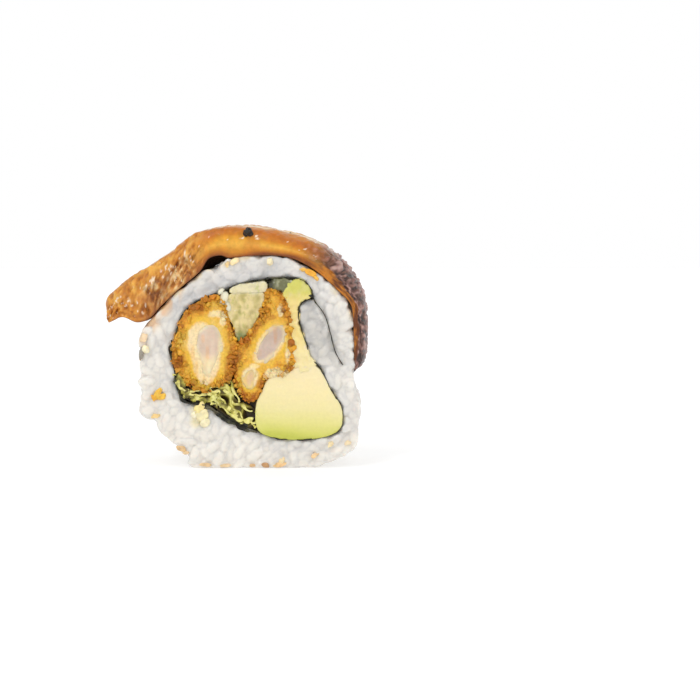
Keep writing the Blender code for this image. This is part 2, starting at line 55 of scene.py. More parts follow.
# Outlines seen from the front, as (x, z) points that smooth curves join
RICE_OUTLINE = [
    (3.6, 49.1), (9.5, 49.0), (14.0, 47.8), (18.7, 45.0), (22.9, 41.2), (26.0, 38.0),
    (27.1, 34.5), (27.4, 26.2), (27.0, 21.0), (27.4, 17.5), (28.6, 15.2), (28.2, 11.0),
    (27.8, 5.4), (26.2, 3.4), (21.7, 1.2), (14.4, -0.2), (2.0, -0.5), (-10.0, -0.3),
    (-11.6, 2.6), (-16.6, 7.6), (-19.6, 10.6), (-23.0, 12.2), (-22.5, 16.5),
    (-22.7, 24.0), (-22.2, 31.2), (-18.8, 35.7), (-15.6, 39.4), (-9.4, 44.4),
    (-4.5, 46.9), (-0.5, 48.6),
]
NORI_PATH = [
    (16.9, 38.6), (15.3, 38.0), (14.8, 36.1), (15.1, 33.0), (16.6, 28.6), (17.4, 25.8),
    (20.0, 23.4), (22.0, 18.6), (24.5, 15.2), (25.0, 11.5), (23.6, 8.2), (18.7, 6.7),
    (13.0, 6.4), (6.5, 7.2), (2.0, 9.0), (-2.8, 11.0), (-6.8, 13.9), (-11.4, 14.6),
    (-13.8, 18.0), (-14.7, 22.5), (-15.8, 26.7), (-14.2, 31.3), (-12.2, 36.2),
    (-6.5, 40.4), (0.7, 43.2), (7.9, 44.5), (15.0, 44.1), (17.4, 41.5), (18.1, 38.8),
    (20.3, 35.2), (21.6, 31.2), (22.6, 27.2), (24.4, 23.9),
]
EEL_TOP = [
    (-30.1, 34.6), (-29.6, 39.3), (-24.3, 43.9), (-19.0, 47.2), (-14.8, 50.1),
    (-9.5, 53.8), (-3.8, 55.3), (2.4, 55.4), (10.5, 54.3), (18.1, 51.8), (25.0, 46.7),
    (28.8, 40.7), (30.1, 33.6), (29.8, 26.4), (29.1, 24.2), (27.7, 22.7),
]
# The eel's underside at its cut faces, where a gap shows over the rice, and further in
EEL_CONTACT = [
    (-29.6, 33.5), (-26.3, 34.9), (-22.9, 33.7), (-20.0, 34.6), (-17.2, 37.6),
    (-13.6, 41.0), (-10.2, 43.8), (-8.3, 45.5), (-6.4, 48.3), (-3.7, 49.1), (-1.4, 48.5),
    (3.6, 49.0), (9.6, 49.0), (14.1, 47.9), (18.8, 45.1), (23.0, 41.3), (26.1, 38.1),
    (26.8, 34.4), (27.1, 26.2), (27.2, 22.9),
]
EEL_CONTACT_DEEP = [
    (-29.6, 33.5), (-26.3, 34.9), (-22.9, 33.7), (-20.0, 34.3), (-17.2, 37.4),
    (-13.6, 40.9), (-10.2, 43.7), (-8.3, 44.8), (-6.2, 46.1), (-3.6, 47.2), (-0.9, 48.4),
    (3.6, 49.1), (9.6, 49.0), (14.1, 47.8), (18.8, 45.0), (23.0, 41.2), (26.1, 38.0),
    (26.8, 34.4), (27.1, 26.2), (27.2, 22.9),
]
BATTER_LEFT = [
    (-3.6, 39.6), (-6.6, 39.1), (-9.1, 38.0), (-11.3, 36.2), (-12.4, 34.2),
    (-13.3, 31.8), (-14.1, 29.2), (-14.4, 26.0), (-13.8, 23.3), (-12.1, 21.2),
    (-10.0, 19.5), (-7.9, 18.6), (-5.4, 19.2), (-2.6, 20.6), (-0.8, 22.6), (-0.2, 25.3),
    (-0.4, 28.0), (-0.9, 30.4), (-1.8, 32.7), (-2.5, 35.4), (-2.8, 38.0),
]
PRAWN_LEFT = [
    (-6.3, 33.6), (-8.9, 32.0), (-9.6, 28.8), (-8.8, 25.2), (-7.3, 22.2), (-6.3, 21.5),
    (-5.0, 22.8), (-3.6, 26.5), (-3.2, 30.5), (-4.2, 33.0),
]
FLESH_LEFT = [
    (-9.4, 33.1), (-10.9, 29.0), (-9.8, 24.4), (-8.6, 21.0), (-7.3, 19.6), (-5.4, 21.0),
    (-4.3, 24.2), (-3.4, 28.2), (-4.1, 30.8), (-6.2, 32.8),
]
BATTER_RIGHT = [
    (7.7, 41.0), (9.6, 40.5), (10.8, 39.0), (11.4, 37.3), (11.9, 35.0), (12.4, 30.4),
    (12.7, 26.7), (12.6, 23.3), (10.7, 21.9), (8.6, 21.5), (6.6, 21.2), (5.9, 19.8),
    (4.8, 17.5), (3.8, 16.1), (2.6, 15.6), (1.5, 16.8), (0.7, 18.9), (0.1, 21.6),
    (0.1, 25.3), (0.2, 28.0), (1.5, 29.4), (3.5, 31.5), (5.1, 34.0), (6.1, 36.3),
    (6.7, 38.6), (7.1, 40.3),
]
PRAWN_RIGHT = [
    (9.6, 33.3), (7.6, 32.3), (5.6, 30.0), (4.3, 26.8), (4.6, 24.6), (6.8, 24.9),
    (9.6, 27.2), (11.0, 29.8), (11.2, 32.2),
]
PRAWN_TAIL = [
    (3.5, 23.2), (1.9, 22.4), (1.5, 20.6), (2.2, 18.8), (3.6, 18.6), (4.4, 20.4),
    (4.5, 22.2),
]
AVOCADO_WEDGE = [
    (7.6, 20.3), (9.8, 20.9), (11.8, 21.6), (13.2, 22.5), (15.5, 23.1), (17.4, 23.3),
    (18.7, 22.6), (20.2, 20.2), (21.6, 17.5), (23.2, 15.0), (24.0, 12.6), (23.9, 10.6),
    (23.0, 9.0), (20.8, 7.9), (17.0, 7.2), (13.0, 7.1), (9.5, 7.4), (6.3, 8.3),
    (5.0, 9.9), (4.8, 12.9), (5.2, 15.4), (6.4, 17.9),
]
AVOCADO_SLICE = [
    (12.7, 42.9), (14.8, 43.1), (16.3, 41.6), (16.8, 39.9), (15.6, 39.0), (14.3, 38.2),
    (13.8, 36.4), (14.1, 33.2), (15.4, 29.2), (16.4, 26.0), (17.8, 23.6), (15.6, 22.6),
    (13.4, 21.9), (12.8, 23.6), (13.1, 27.0), (12.8, 30.6), (12.3, 35.2), (11.8, 37.8),
    (11.2, 39.9), (11.7, 42.0),
]
CUCUMBER_WEDGE = [
    (-1.0, 40.0), (2.5, 40.1), (6.1, 40.1), (5.6, 37.6), (4.6, 34.8), (3.1, 32.3),
    (1.6, 30.5), (0.7, 29.6), (0.1, 30.6), (-0.5, 32.9), (-1.5, 35.4), (-2.0, 38.2),
]
CUCUMBER_BLOCK = [
    (-1.0, 40.7), (-0.9, 41.4), (0.8, 42.2), (3.4, 42.4), (6.3, 43.0), (6.5, 41.0),
    (2.8, 40.8),
]
CUCUMBER_SLIVER = [
    (7.7, 42.2), (8.2, 43.3), (10.4, 43.7), (12.3, 43.2), (12.6, 42.0), (11.5, 41.0),
    (9.9, 41.2), (8.7, 41.5),
]
LEAF_BODY = [
    (-14.2, 21.6), (-12.4, 18.4), (-8.6, 17.2), (-4.8, 18.0), (-3.0, 19.8), (-1.6, 18.4),
    (0.2, 15.4), (3.8, 13.6), (4.6, 9.6), (2.0, 9.9), (-2.6, 12.2), (-6.4, 14.9),
    (-11.2, 15.7), (-13.4, 18.2),
]
LEAF_TUFT = [
    (-14.0, 21.8), (-12.8, 21.7), (-12.2, 20.4), (-11.6, 18.9), (-11.2, 17.6), (-11.9, 17.0),
    (-12.8, 17.8), (-13.6, 19.6),
]
LEAF_BAND = [
    (-12.4, 18.0), (-10.4, 16.9), (-7.6, 16.6), (-5.4, 16.9), (-3.6, 16.0), (-2.6, 14.6),
    (-3.6, 14.2), (-5.2, 15.2), (-7.8, 15.5), (-10.6, 15.8), (-12.2, 16.6),
]
FILLINGS = (
    BATTER_LEFT, BATTER_RIGHT, AVOCADO_WEDGE, AVOCADO_SLICE, CUCUMBER_WEDGE, CUCUMBER_BLOCK,
    CUCUMBER_SLIVER, LEAF_BODY,
)


def curve(points, spacing, closed=True):
    """Points about this far apart along a Catmull-Rom curve through the given points."""
    p = np.array(points, float)
    if closed:
        p = np.vstack([p[-1], p, p[0], p[1]])
    else:
        p = np.vstack([2 * p[0] - p[1], p, 2 * p[-1] - p[-2]])
    steps = np.linspace(0, 1, 16, endpoint=False)[:, None]
    runs = []
    for a, b, c, d in zip(p, p[1:], p[2:], p[3:]):
        bend = 2 * a - 5 * b + 4 * c - d
        twist = -a + 3 * b - 3 * c + d
        runs.append(0.5 * (2 * b + (c - a) * steps + bend * steps**2 + twist * steps**3))
    fine = np.vstack([*runs, p[-2:-1]])
    length = np.concatenate([[0], np.cumsum(np.linalg.norm(np.diff(fine, axis=0), axis=1))])
    count = max(8, round(length[-1] / spacing))
    at = np.linspace(0, length[-1], count + 1)
    even = columns(*(np.interp(at, length, fine[:, k]) for k in (0, 1)))
    return even[:-1] if closed else even


def left_side(path):
    """Unit normals on the left of an open path."""
    ahead = unit(np.gradient(path, axis=0))
    return columns(-ahead[:, 1], ahead[:, 0])


def inward_side(loop):
    """Unit normals that point into a closed loop."""
    ahead = unit(np.roll(loop, -1, axis=0) - np.roll(loop, 1, axis=0))
    side = columns(-ahead[:, 1], ahead[:, 0])
    x, z = loop[:, 0], loop[:, 1]
    area = (x * np.roll(z, -1) - np.roll(x, -1) * z).sum()
    return side if area > 0 else -side


def lattice(i, j, k, seed):
    """A repeatable number from 0 to 1 for each whole-numbered place."""
    h = i * 374761393 + j * 668265263 + k * 1442695041 + seed * 915488749
    h = ((h ^ (h >> 13)) * 1274126177) & 0xFFFFFFFF
    return ((h ^ (h >> 16)) & 0xFFFFFF) / 0xFFFFFF


def noise(points, waves, seed=0):
    """Smooth noise from -1 to 1, with this many waves a millimetre along x, y and z."""
    p = np.asarray(points, float) * np.asarray(waves, float)
    cell = np.floor(p).astype(np.int64)
    f = p - cell
    f = f * f * f * (f * (f * 6 - 15) + 10)
    total = np.zeros(len(p))
    for dx in (0, 1):
        for dy in (0, 1):
            for dz in (0, 1):
                weight = np.abs(1 - dx - f[:, 0]) * np.abs(1 - dy - f[:, 1]) * np.abs(1 - dz - f[:, 2])
                total += weight * lattice(cell[:, 0] + dx, cell[:, 1] + dy, cell[:, 2] + dz, seed)
    return total * 2 - 1


def rough_noise(points, waves, seed=0, octaves=3):
    """Noise with finer and finer noise on it."""
    total = np.zeros(len(points))
    for octave in range(octaves):
        total += noise(points, np.asarray(waves, float) * 2.1**octave, seed + 17 * octave) / 1.9**octave
    return total


def drift(points, waves, seed):
    """A smooth random move in x, y and z for each point."""
    return columns(*(noise(points, waves, seed + k) for k in range(3)))


def cells(points, size, seed=0):
    """Splits space into lumps of about this size: how far each point is from its lump's middle,
    as a share of the size, and the lump's own number from 0 to 1."""
    p = np.asarray(points, float) / size
    home = np.floor(p).astype(np.int64)
    nearest = np.full(len(p), 9.0)
    number = np.zeros(len(p))
    for dx in (-1, 0, 1):
        for dy in (-1, 0, 1):
            for dz in (-1, 0, 1):
                i, j, k = home[:, 0] + dx, home[:, 1] + dy, home[:, 2] + dz
                places = enumerate((i, j, k))
                middle = columns(*(v + 0.15 + 0.7 * lattice(i, j, k, seed + n) for n, v in places))
                away = np.linalg.norm(p - middle, axis=1)
                closer = away < nearest
                nearest = np.where(closer, away, nearest)
                number = np.where(closer, lattice(i, j, k, seed + 3), number)
    return nearest, number


def columns(*values):
    """Rows made of these values side by side. A single number is repeated in each row."""
    return np.stack(np.broadcast_arrays(*values), axis=1)


def solid_points(flat, y):
    """(x, y, z) points from (x, z) points and a y."""
    return columns(flat[:, 0], y, flat[:, 1])


def unit(vectors, least=1e-9):
    """Vectors scaled to a length of 1."""
    return vectors / np.maximum(np.linalg.norm(vectors, axis=-1, keepdims=True), least)


def step(values, low, high):
    """0 under low, 1 over high and a smooth rise between."""
    t = np.clip((np.asarray(values, float) - low) / (high - low), 0, 1)
    return t * t * (3 - 2 * t)


def mix(a, b, share):
    """Colours from a to b by each point's share. Either is one colour or one for each point."""
    share = np.asarray(share, float)[:, None]
    return np.asarray(a, float) * (1 - share) + np.asarray(b, float) * share


def shaded(colours, factors, share):
    """Colours multiplied by these factors, by each point's share."""
    return mix(colours, colours * factors, share)


def ramp(values, *stops):
    """Colours along stops of (value, colour)."""
    at = [s[0] for s in stops]
    return columns(*(np.interp(values, at, [s[1][c] for s in stops]) for c in range(3)))


class Field:
    """Distance to a closed loop on a fine grid, positive inside."""

    def __init__(self, loop, grid=0.2, margin=3.0):
        self.grid = grid
        self.low = loop.min(0) - margin
        size = np.ceil((loop.max(0) + margin - self.low) / grid).astype(int) + 1
        x = self.low[0] + np.arange(size[0]) * grid
        z = self.low[1] + np.arange(size[1]) * grid
        run = np.roll(loop, -1, axis=0) - loop
        near = np.full(size, 1e9)
        odd = np.zeros(size, bool)
        gx, gz = x[:, None], z[None, :]
        for (ax, az), (rx, rz) in zip(loop, run):
            share = np.clip(((gx - ax) * rx + (gz - az) * rz) / (rx * rx + rz * rz), 0, 1)
            near = np.minimum(near, (ax + rx * share - gx) ** 2 + (az + rz * share - gz) ** 2)
            if rz:
                crosses = (az > gz) != (az + rz > gz)
                odd ^= crosses & (gx < ax + (gz - az) * rx / rz)
        self.values = np.where(odd, 1, -1) * np.sqrt(near)

    def at(self, flat):
        """Distances at (x, z) points."""
        p = (flat - self.low) / self.grid
        top = np.array(self.values.shape) - 1.001
        p = np.clip(p, 0, top)
        i = p.astype(int)
        f = p - i
        v = self.values
        return (
            v[i[:, 0], i[:, 1]] * (1 - f[:, 0]) * (1 - f[:, 1])
            + v[i[:, 0] + 1, i[:, 1]] * f[:, 0] * (1 - f[:, 1])
            + v[i[:, 0], i[:, 1] + 1] * (1 - f[:, 0]) * f[:, 1]
            + v[i[:, 0] + 1, i[:, 1] + 1] * f[:, 0] * f[:, 1]
        )

    def uphill(self, flat):
        """Unit directions in which the distance grows."""
        h = self.grid
        g = columns(
            self.at(flat + (h, 0)) - self.at(flat - (h, 0)),
            self.at(flat + (0, h)) - self.at(flat - (0, h)),
        )
        return unit(g, 1e-6)


def linked(name, data):
    """A new object in the scene."""
    made = bpy.data.objects.new(name, data)
    bpy.context.scene.collection.objects.link(made)
    return made


def add_piece(name, body, look, nodes=()):
    """Makes a piece of the part from its body: points in millimetres, faces and a tone a point."""
    points, faces, tone = body
    mesh = bpy.data.meshes.new(name)
    corners = faces if isinstance(faces, list) else faces.tolist()
    mesh.from_pydata(((points + SHIFT) * MM).tolist(), [], corners)
    bm = bmesh.new()
    bm.from_mesh(mesh)
    bmesh.ops.recalc_face_normals(bm, faces=bm.faces)
    bm.to_mesh(mesh)
    bm.free()
    mesh.shade_smooth()
    colours = np.ones((len(points), 4))
    colours[:, :3] = tone
    layer = mesh.color_attributes.new("tone", "FLOAT_COLOR", "POINT")
    layer.data.foreach_set("color", np.clip(colours, 0, 1).ravel())
    mesh.materials.append(look)
    piece = linked(name, mesh)
    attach(piece, "root")
    if nodes:
        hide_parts(*nodes)


def fill(node, **values):
    """Sets a node's inputs by their names, with _ for each space."""
    for name, value in values.items():
        node.inputs[name.replace("_", " ")].default_value = value
    return node


def make_look(name, rough, bump, waves, spread, gloss=0.0, gloss_rough=0.15, glow=0.0,
              glow_depth=(1.0, 0.6, 0.4), ior=1.4, colour=None):
    """A moist food surface. Its colour is the painted tone broken up by fine noise, and its
    roughness and bump come from noise with this many waves a millimetre."""
    made = bpy.data.materials.new(name)
    made.use_nodes = True
    nodes = made.node_tree.nodes
    place = nodes.new("ShaderNodeTexCoord")
    fine = fill(nodes.new("ShaderNodeTexNoise"), Scale=waves / MM, Detail=5)
    broad = fill(nodes.new("ShaderNodeTexNoise"), Scale=waves / MM / 6, Detail=2)
    if colour is None:
        painted = nodes.new("ShaderNodeAttribute")
        painted.attribute_name = "tone"
    else:
        painted = nodes.new("ShaderNodeRGB")
        painted.outputs[0].default_value = (*colour, 1)
    breakup = nodes.new("ShaderNodeHueSaturation")
    value = fill(
        nodes.new("ShaderNodeMapRange"), From_Min=0.3, From_Max=0.7, To_Min=1 - spread, To_Max=1 + spread
    )
    roughness = fill(
        nodes.new("ShaderNodeMapRange"), From_Min=0.35, From_Max=0.65, To_Min=rough[0], To_Max=rough[1]
    )
    relief = fill(nodes.new("ShaderNodeBump"), Strength=1.0, Distance=bump * MM)
    shader = fill(
        nodes["Principled BSDF"], Subsurface_Weight=glow, Subsurface_Radius=glow_depth,
        Subsurface_Scale=MM, Coat_Weight=gloss, Coat_Roughness=gloss_rough, IOR=ior,
    )
    for giver, out, taker, into in (
        (place, "Object", fine, "Vector"),
        (place, "Object", broad, "Vector"),
        (fine, "Fac", value, "Value"),
        (value, "Result", breakup, "Value"),
        (painted, "Color", breakup, "Color"),
        (breakup, "Color", shader, "Base Color"),
        (broad, "Fac", roughness, "Value"),
        (roughness, "Result", shader, "Roughness"),
        (fine, "Fac", relief, "Height"),
        (relief, "Normal", shader, "Normal"),
        (relief, "Normal", shader, "Coat Normal"),
    ):
        made.node_tree.links.new(giver.outputs[out], taker.inputs[into])
    return made


# Lumps: grains, seeds, crumbs and flakes

# How far apart in the noise two lumps are, so that each has its own dents
LUMP_APART = 7.31


def ball(detail):
    """Points and triangles of a unit sphere."""
    bm = bmesh.new()
    bmesh.ops.create_icosphere(bm, subdivisions=detail, radius=1)
    points = np.array([v.co for v in bm.verts])
    faces = np.array([[v.index for v in f.verts] for f in bm.faces])
    bm.free()
    return points, faces


BALLS = {detail: ball(detail) for detail in (2, 3)}


def turns(ahead, up):
    """Rotation matrices whose axes are ahead, across and up."""
    ahead = unit(ahead)
    across = unit(np.cross(up, ahead))
    return np.stack([ahead, across, np.cross(ahead, across)], axis=2)


def lumps(at, ahead, up, sizes, detail, tones=1.0, blunt=1.0, craggy=0.0, waves=1.0, seed=0):
    """Many small solids in one body, long along ahead, each with its tone. Blunt under 1 squares
    their ends, and craggy gives each its own dents."""
    base, base_faces = BALLS[detail]
    count = len(at)
    shape = np.sign(base) * np.abs(base) ** (blunt, 1, 1)
    points = shape[None] * (np.asarray(sizes) / 2)[:, None, :]
    if craggy:
        spots = (base[None] + np.arange(count)[:, None, None] * LUMP_APART).reshape(-1, 3)
        points = points * (1 + craggy * noise(spots, waves, seed).reshape(count, -1, 1))
    points = np.einsum("nij,nkj->nki", turns(ahead, up), points) + np.asarray(at)[:, None, :]
    faces = base_faces[None] + (np.arange(count) * len(base))[:, None, None]
    tone = np.repeat(np.broadcast_to(tones, (count, 3)), len(base), axis=0)
    return points.reshape(-1, 3), faces.reshape(-1, 3), tone


# Rice

RICE_LOOP = curve(RICE_OUTLINE, 0.5)
NORI_LINE = curve(NORI_PATH, 0.4, closed=False)
NORI_SLOT = 0.12
GRAIN_LENGTH = (3.9, 5.6)
GRAIN_WIDTH = (1.8, 2.4)
RICE_TONE = (0.79, 0.755, 0.69)
# Painted shade in the creases between grains
RICE_CREASE_SHADE = (0.68, 0.655, 0.615)
# Layers of grains below a cut face and below the skin: tries, spacing in widths, wall, depth
FACE_LAYERS = ((9000, 0.64, 0.22, 0.9), (6000, 0.62, 0.22, 1.25), (4000, 0.7, 0.3, 1.9))
SKIN_LAYERS = ((16000, 0.62, 0.0), (7000, 0.7, 0.6))
CORE_DEPTH = 0.85
# Name, end, size of the skin's quads and seed
RICE_HALVES = (("rice_front", -1, 0.35, 1), ("rice_back", 1, 0.38, 2))


def tongue_start():
    """Where the seaweed, on its way round, passes its own start and goes down behind the tongue."""
    late = 3 * len(NORI_LINE) // 4
    return late + int(np.linalg.norm(NORI_LINE[late:] - NORI_LINE[0], axis=1).argmin())


TONGUE_START = tongue_start()
TONGUE_SHARE = TONGUE_START / (len(NORI_LINE) - 1)


def nori_sinking():
    """How far in from its path the seaweed lies at each point, so that it touches the fillings."""
    fields = [Field(curve(outline, 0.6)) for outline in FILLINGS]
    gap = np.min([-field.at(NORI_LINE) for field in fields], axis=0)
    sunk = np.clip(gap - 0.5, 0.1, 1.0)
    reach = 6
    window = np.ones(2 * reach + 1) / (2 * reach + 1)
    return np.convolve(np.pad(sunk, reach, mode="edge"), window, mode="valid")


NORI_SUNK = nori_sinking()


def rice_hole():
    """The hole for the filling and the seaweed, with the slot behind the rice tongue."""
    side = left_side(NORI_LINE)
    slot = step(np.arange(len(NORI_LINE)), TONGUE_START - 6, TONGUE_START + 2)[:, None]
    outside = NORI_LINE + side * (NORI_SLOT * slot - NORI_SUNK[:, None] * (1 - slot))
    behind = (NORI_LINE - side * NORI_SLOT)[TONGUE_START:][::-1]
    return np.vstack([outside, behind])


HOLE_LOOP = rice_hole()
RICE_FIELD = Field(RICE_LOOP)
HOLE_FIELD = Field(HOLE_LOOP)


def ring_depth(flat):
    """How deep (x, z) points are in the rice, from its skin or from the hole."""
    return np.minimum(RICE_FIELD.at(flat), -HOLE_FIELD.at(flat))


def spread_out(middles, alongs, lengths, widths, packing):
    """Which grains to keep so that no two are closer than this share of their width."""
    shares = np.array((-1, 0, 1))[None, :, None]
    reach = ((lengths - widths) / 2)[:, None, None]
    lines = middles[:, None] + alongs[:, None] * shares * reach
    taken = np.zeros((len(lines) * 3, middles.shape[1]))
    filled = 0
    kept = []
    for i, line in enumerate(lines):
        if filled:
            apart = ((taken[:filled, None] - line[None]) ** 2).sum(2).min()
            if apart < (widths[i] * packing) ** 2:
                continue
        taken[filled : filled + 3] = line
        filled += 3
        kept.append(i)
    return np.array(kept)


def settled(fits, packing, *grains):
    """The grains that fit and stay apart. Each has a middle, a direction, a length and a width."""
    grains = [values[fits] for values in grains]
    kept = spread_out(*grains[:4], packing)
    return [values[kept] for values in grains]


def face_grains(rng, end, tries, packing, wall, sunk):
    """Grains that a cut face passes through: middles, directions, ups and sizes."""
    spots = rng.uniform(RICE_LOOP.min(0), RICE_LOOP.max(0), (tries * 2, 2))
    spots = spots[ring_depth(spots) > 0.6][:tries]
    skin_is_near = RICE_FIELD.at(spots) < -HOLE_FIELD.at(spots)
    toward = np.where(skin_is_near[:, None], RICE_FIELD.uphill(spots), -HOLE_FIELD.uphill(spots))
    loose = rng.normal(size=len(spots)) * (0.3 + 0.35 * np.minimum(ring_depth(spots), 3.0))
    angle = np.arctan2(toward[:, 0], -toward[:, 1]) + loose
    alongs = columns(np.cos(angle), np.sin(angle))
    lengths = rng.uniform(*GRAIN_LENGTH, len(spots))
    widths = rng.uniform(*GRAIN_WIDTH, len(spots))
    tips = alongs * ((lengths - widths) / 2)[:, None]
    room = np.min([ring_depth(spots + tips * k) for k in (-1, 0, 1)], axis=0)
    fits = room > widths * wall
    spots, alongs, lengths, widths = settled(fits, packing, spots, alongs, lengths, widths)
    count = len(spots)
    y = end * (HALF - sunk - rng.uniform(-0.1, 0.35, count))
    at = solid_points(spots, y)
    ahead = columns(alongs[:, 0], rng.normal(size=count) * 0.3, alongs[:, 1])
    up = np.tile((0.0, 1.0, 0.0), (count, 1))
    return at, ahead, up, columns(lengths, widths, widths * 0.95)


def skin_grains(rng, end, tries, packing, sunk):
    """Grains under the outer skin of one half."""
    side = inward_side(RICE_LOOP)
    forward = columns(side[:, 1], -side[:, 0])
    i = rng.integers(len(RICE_LOOP), size=tries)
    lengths = rng.uniform(*GRAIN_LENGTH, tries)
    widths = rng.uniform(*GRAIN_WIDTH, tries)
    deep = widths * 0.44 + sunk + rng.uniform(0, 0.25, tries)
    flat = RICE_LOOP[i] + side[i] * deep[:, None]
    y = rng.uniform(-2.6, HALF - 1.2, tries) * end
    angle = rng.uniform(0, math.pi, tries)
    alongs = columns(forward[i, 0] * np.cos(angle), np.sin(angle), forward[i, 1] * np.cos(angle))
    middles = solid_points(flat, y)
    tips = alongs * ((lengths - widths) / 2)[:, None]
    room = np.min([ring_depth((middles + tips * k)[:, (0, 2)]) for k in (-1, 0, 1)], axis=0)
    reach = np.abs(middles[:, 1]) + np.abs(tips[:, 1])
    fits = (room > widths * 0.3) & (reach < HALF - 0.4 * widths)
    middles, alongs, lengths, widths, i = settled(fits, packing, middles, alongs, lengths, widths, i)
    up = solid_points(side[i], 0.0)
    return middles, alongs, up, columns(lengths, widths, widths * 0.95)


def rice_mass(name, end, voxel, seed):
    """One half of the rice: grains that stick together over a core, cut flat at one end."""
    rng = np.random.default_rng(seed)
    layers = [face_grains(rng, end, *layer) for layer in FACE_LAYERS]
    layers += [skin_grains(rng, end, *layer) for layer in SKIN_LAYERS]
    at, ahead, up, sizes = (np.vstack([layer[k] for layer in layers]) for k in range(4))
    points, faces, _ = lumps(at, ahead, up, sizes, 2, blunt=0.8)
    core_points, core_faces = rice_core(end)
    faces = np.vstack([faces, core_faces + len(points)])
    points, quads = remeshed(np.vstack([points, core_points]), faces, voxel)
    points = finish_rice(smoothed(points, quads, 3), end, seed)
    tone = rice_tone(points, at, ahead, sizes, rng)
    add_piece(name, (points, quads, tone), RICE_LOOK, ("rice",))


def rice_core(end):
    """A core that fills the half of the rice behind its grains."""
    outer = curve(RICE_OUTLINE, 1.0)
    outer = outer + inward_side(outer) * 1.7
    hole = HOLE_LOOP[::2]
    edges = [(i, (i + 1) % len(outer)) for i in range(len(outer))]
    start = len(outer)
    edges += [(start + i, start + (i + 1) % len(hole)) for i in range(len(hole))]
    flat = np.vstack([outer, hole])
    got = geometry.delaunay_2d_cdt([Vector(p) for p in flat], edges, [], 1, 1e-6)
    flat = np.array(got[0])
    faces = np.array(got[2])
    middle = flat[faces].mean(1)
    faces = faces[(HOLE_FIELD.at(middle) < 0) & (RICE_FIELD.at(middle) > 0)]
    near, far = end * (HALF - CORE_DEPTH), -end * 0.8
    count = len(flat)
    points = np.vstack([solid_points(flat, near), solid_points(flat, far)])
    sides = []
    used = {}
    for a, b, c in faces:
        for pair in ((a, b), (b, c), (c, a)):
            used[pair] = used.get(pair, 0) + 1
    for a, b in used:
        if (b, a) not in used:
            sides.append((a, a + count, b))
            sides.append((b, a + count, b + count))
    return points, np.vstack([faces, faces[:, ::-1] + count, np.array(sides)])


def remeshed(points, faces, voxel):
    """The outside of overlapping closed shapes as one skin of quads."""
    mesh = bpy.data.meshes.new("raw")
    mesh.from_pydata(points.tolist(), [], faces.tolist())
    raw = linked("raw", mesh)
    remesh = raw.modifiers.new("skin", "REMESH")
    remesh.mode = "VOXEL"
    remesh.voxel_size = voxel
    graph = bpy.context.evaluated_depsgraph_get()
    skin = bpy.data.meshes.new_from_object(raw.evaluated_get(graph))
    co = np.zeros(len(skin.vertices) * 3)
    skin.vertices.foreach_get("co", co)
    corners = np.zeros(len(skin.loops), np.int64)
    skin.loops.foreach_get("vertex_index", corners)
    bpy.data.objects.remove(raw)
    bpy.data.meshes.remove(mesh)
    bpy.data.meshes.remove(skin)
    return co.reshape(-1, 3), corners.reshape(-1, 4)


def smoothed(points, quads, rounds):
    """Points moved halfway to the middle of their neighbours, some rounds over."""
    ends = np.vstack([quads[:, (0, 1)], quads[:, (1, 2)], quads[:, (2, 3)], quads[:, (3, 0)]])
    ends = np.vstack([ends, ends[:, ::-1]])
    count = np.maximum(np.bincount(ends[:, 0], minlength=len(points)), 1)
    for _ in range(rounds):
        sums = (np.bincount(ends[:, 0], points[ends[:, 1], k], len(points)) for k in range(3))
        points = (points + columns(*sums) / count[:, None]) / 2
    return points


def finish_rice(points, end, seed):
    """Flattens the cut, keeps the hole and the board clear, and roughens the skin a little."""
    deep = points[:, 1] * end - (HALF - 0.5)
    points[:, 1] -= end * np.where(deep > 0, deep - 0.3 * np.tanh(deep / 0.3), 0)
    for _ in range(2):
        flat = points[:, (0, 2)]
        into = HOLE_FIELD.at(flat) + 0.03
        push = np.where(into > 0, into, 0)[:, None] * HOLE_FIELD.uphill(flat)
        points[:, (0, 2)] = flat - push
    points += rough_noise(points, 0.9, seed)[:, None] * 0.08 * (0.5, 1, 0.5)
    points[:, 2] = np.maximum(points[:, 2], BOARD)
    return points


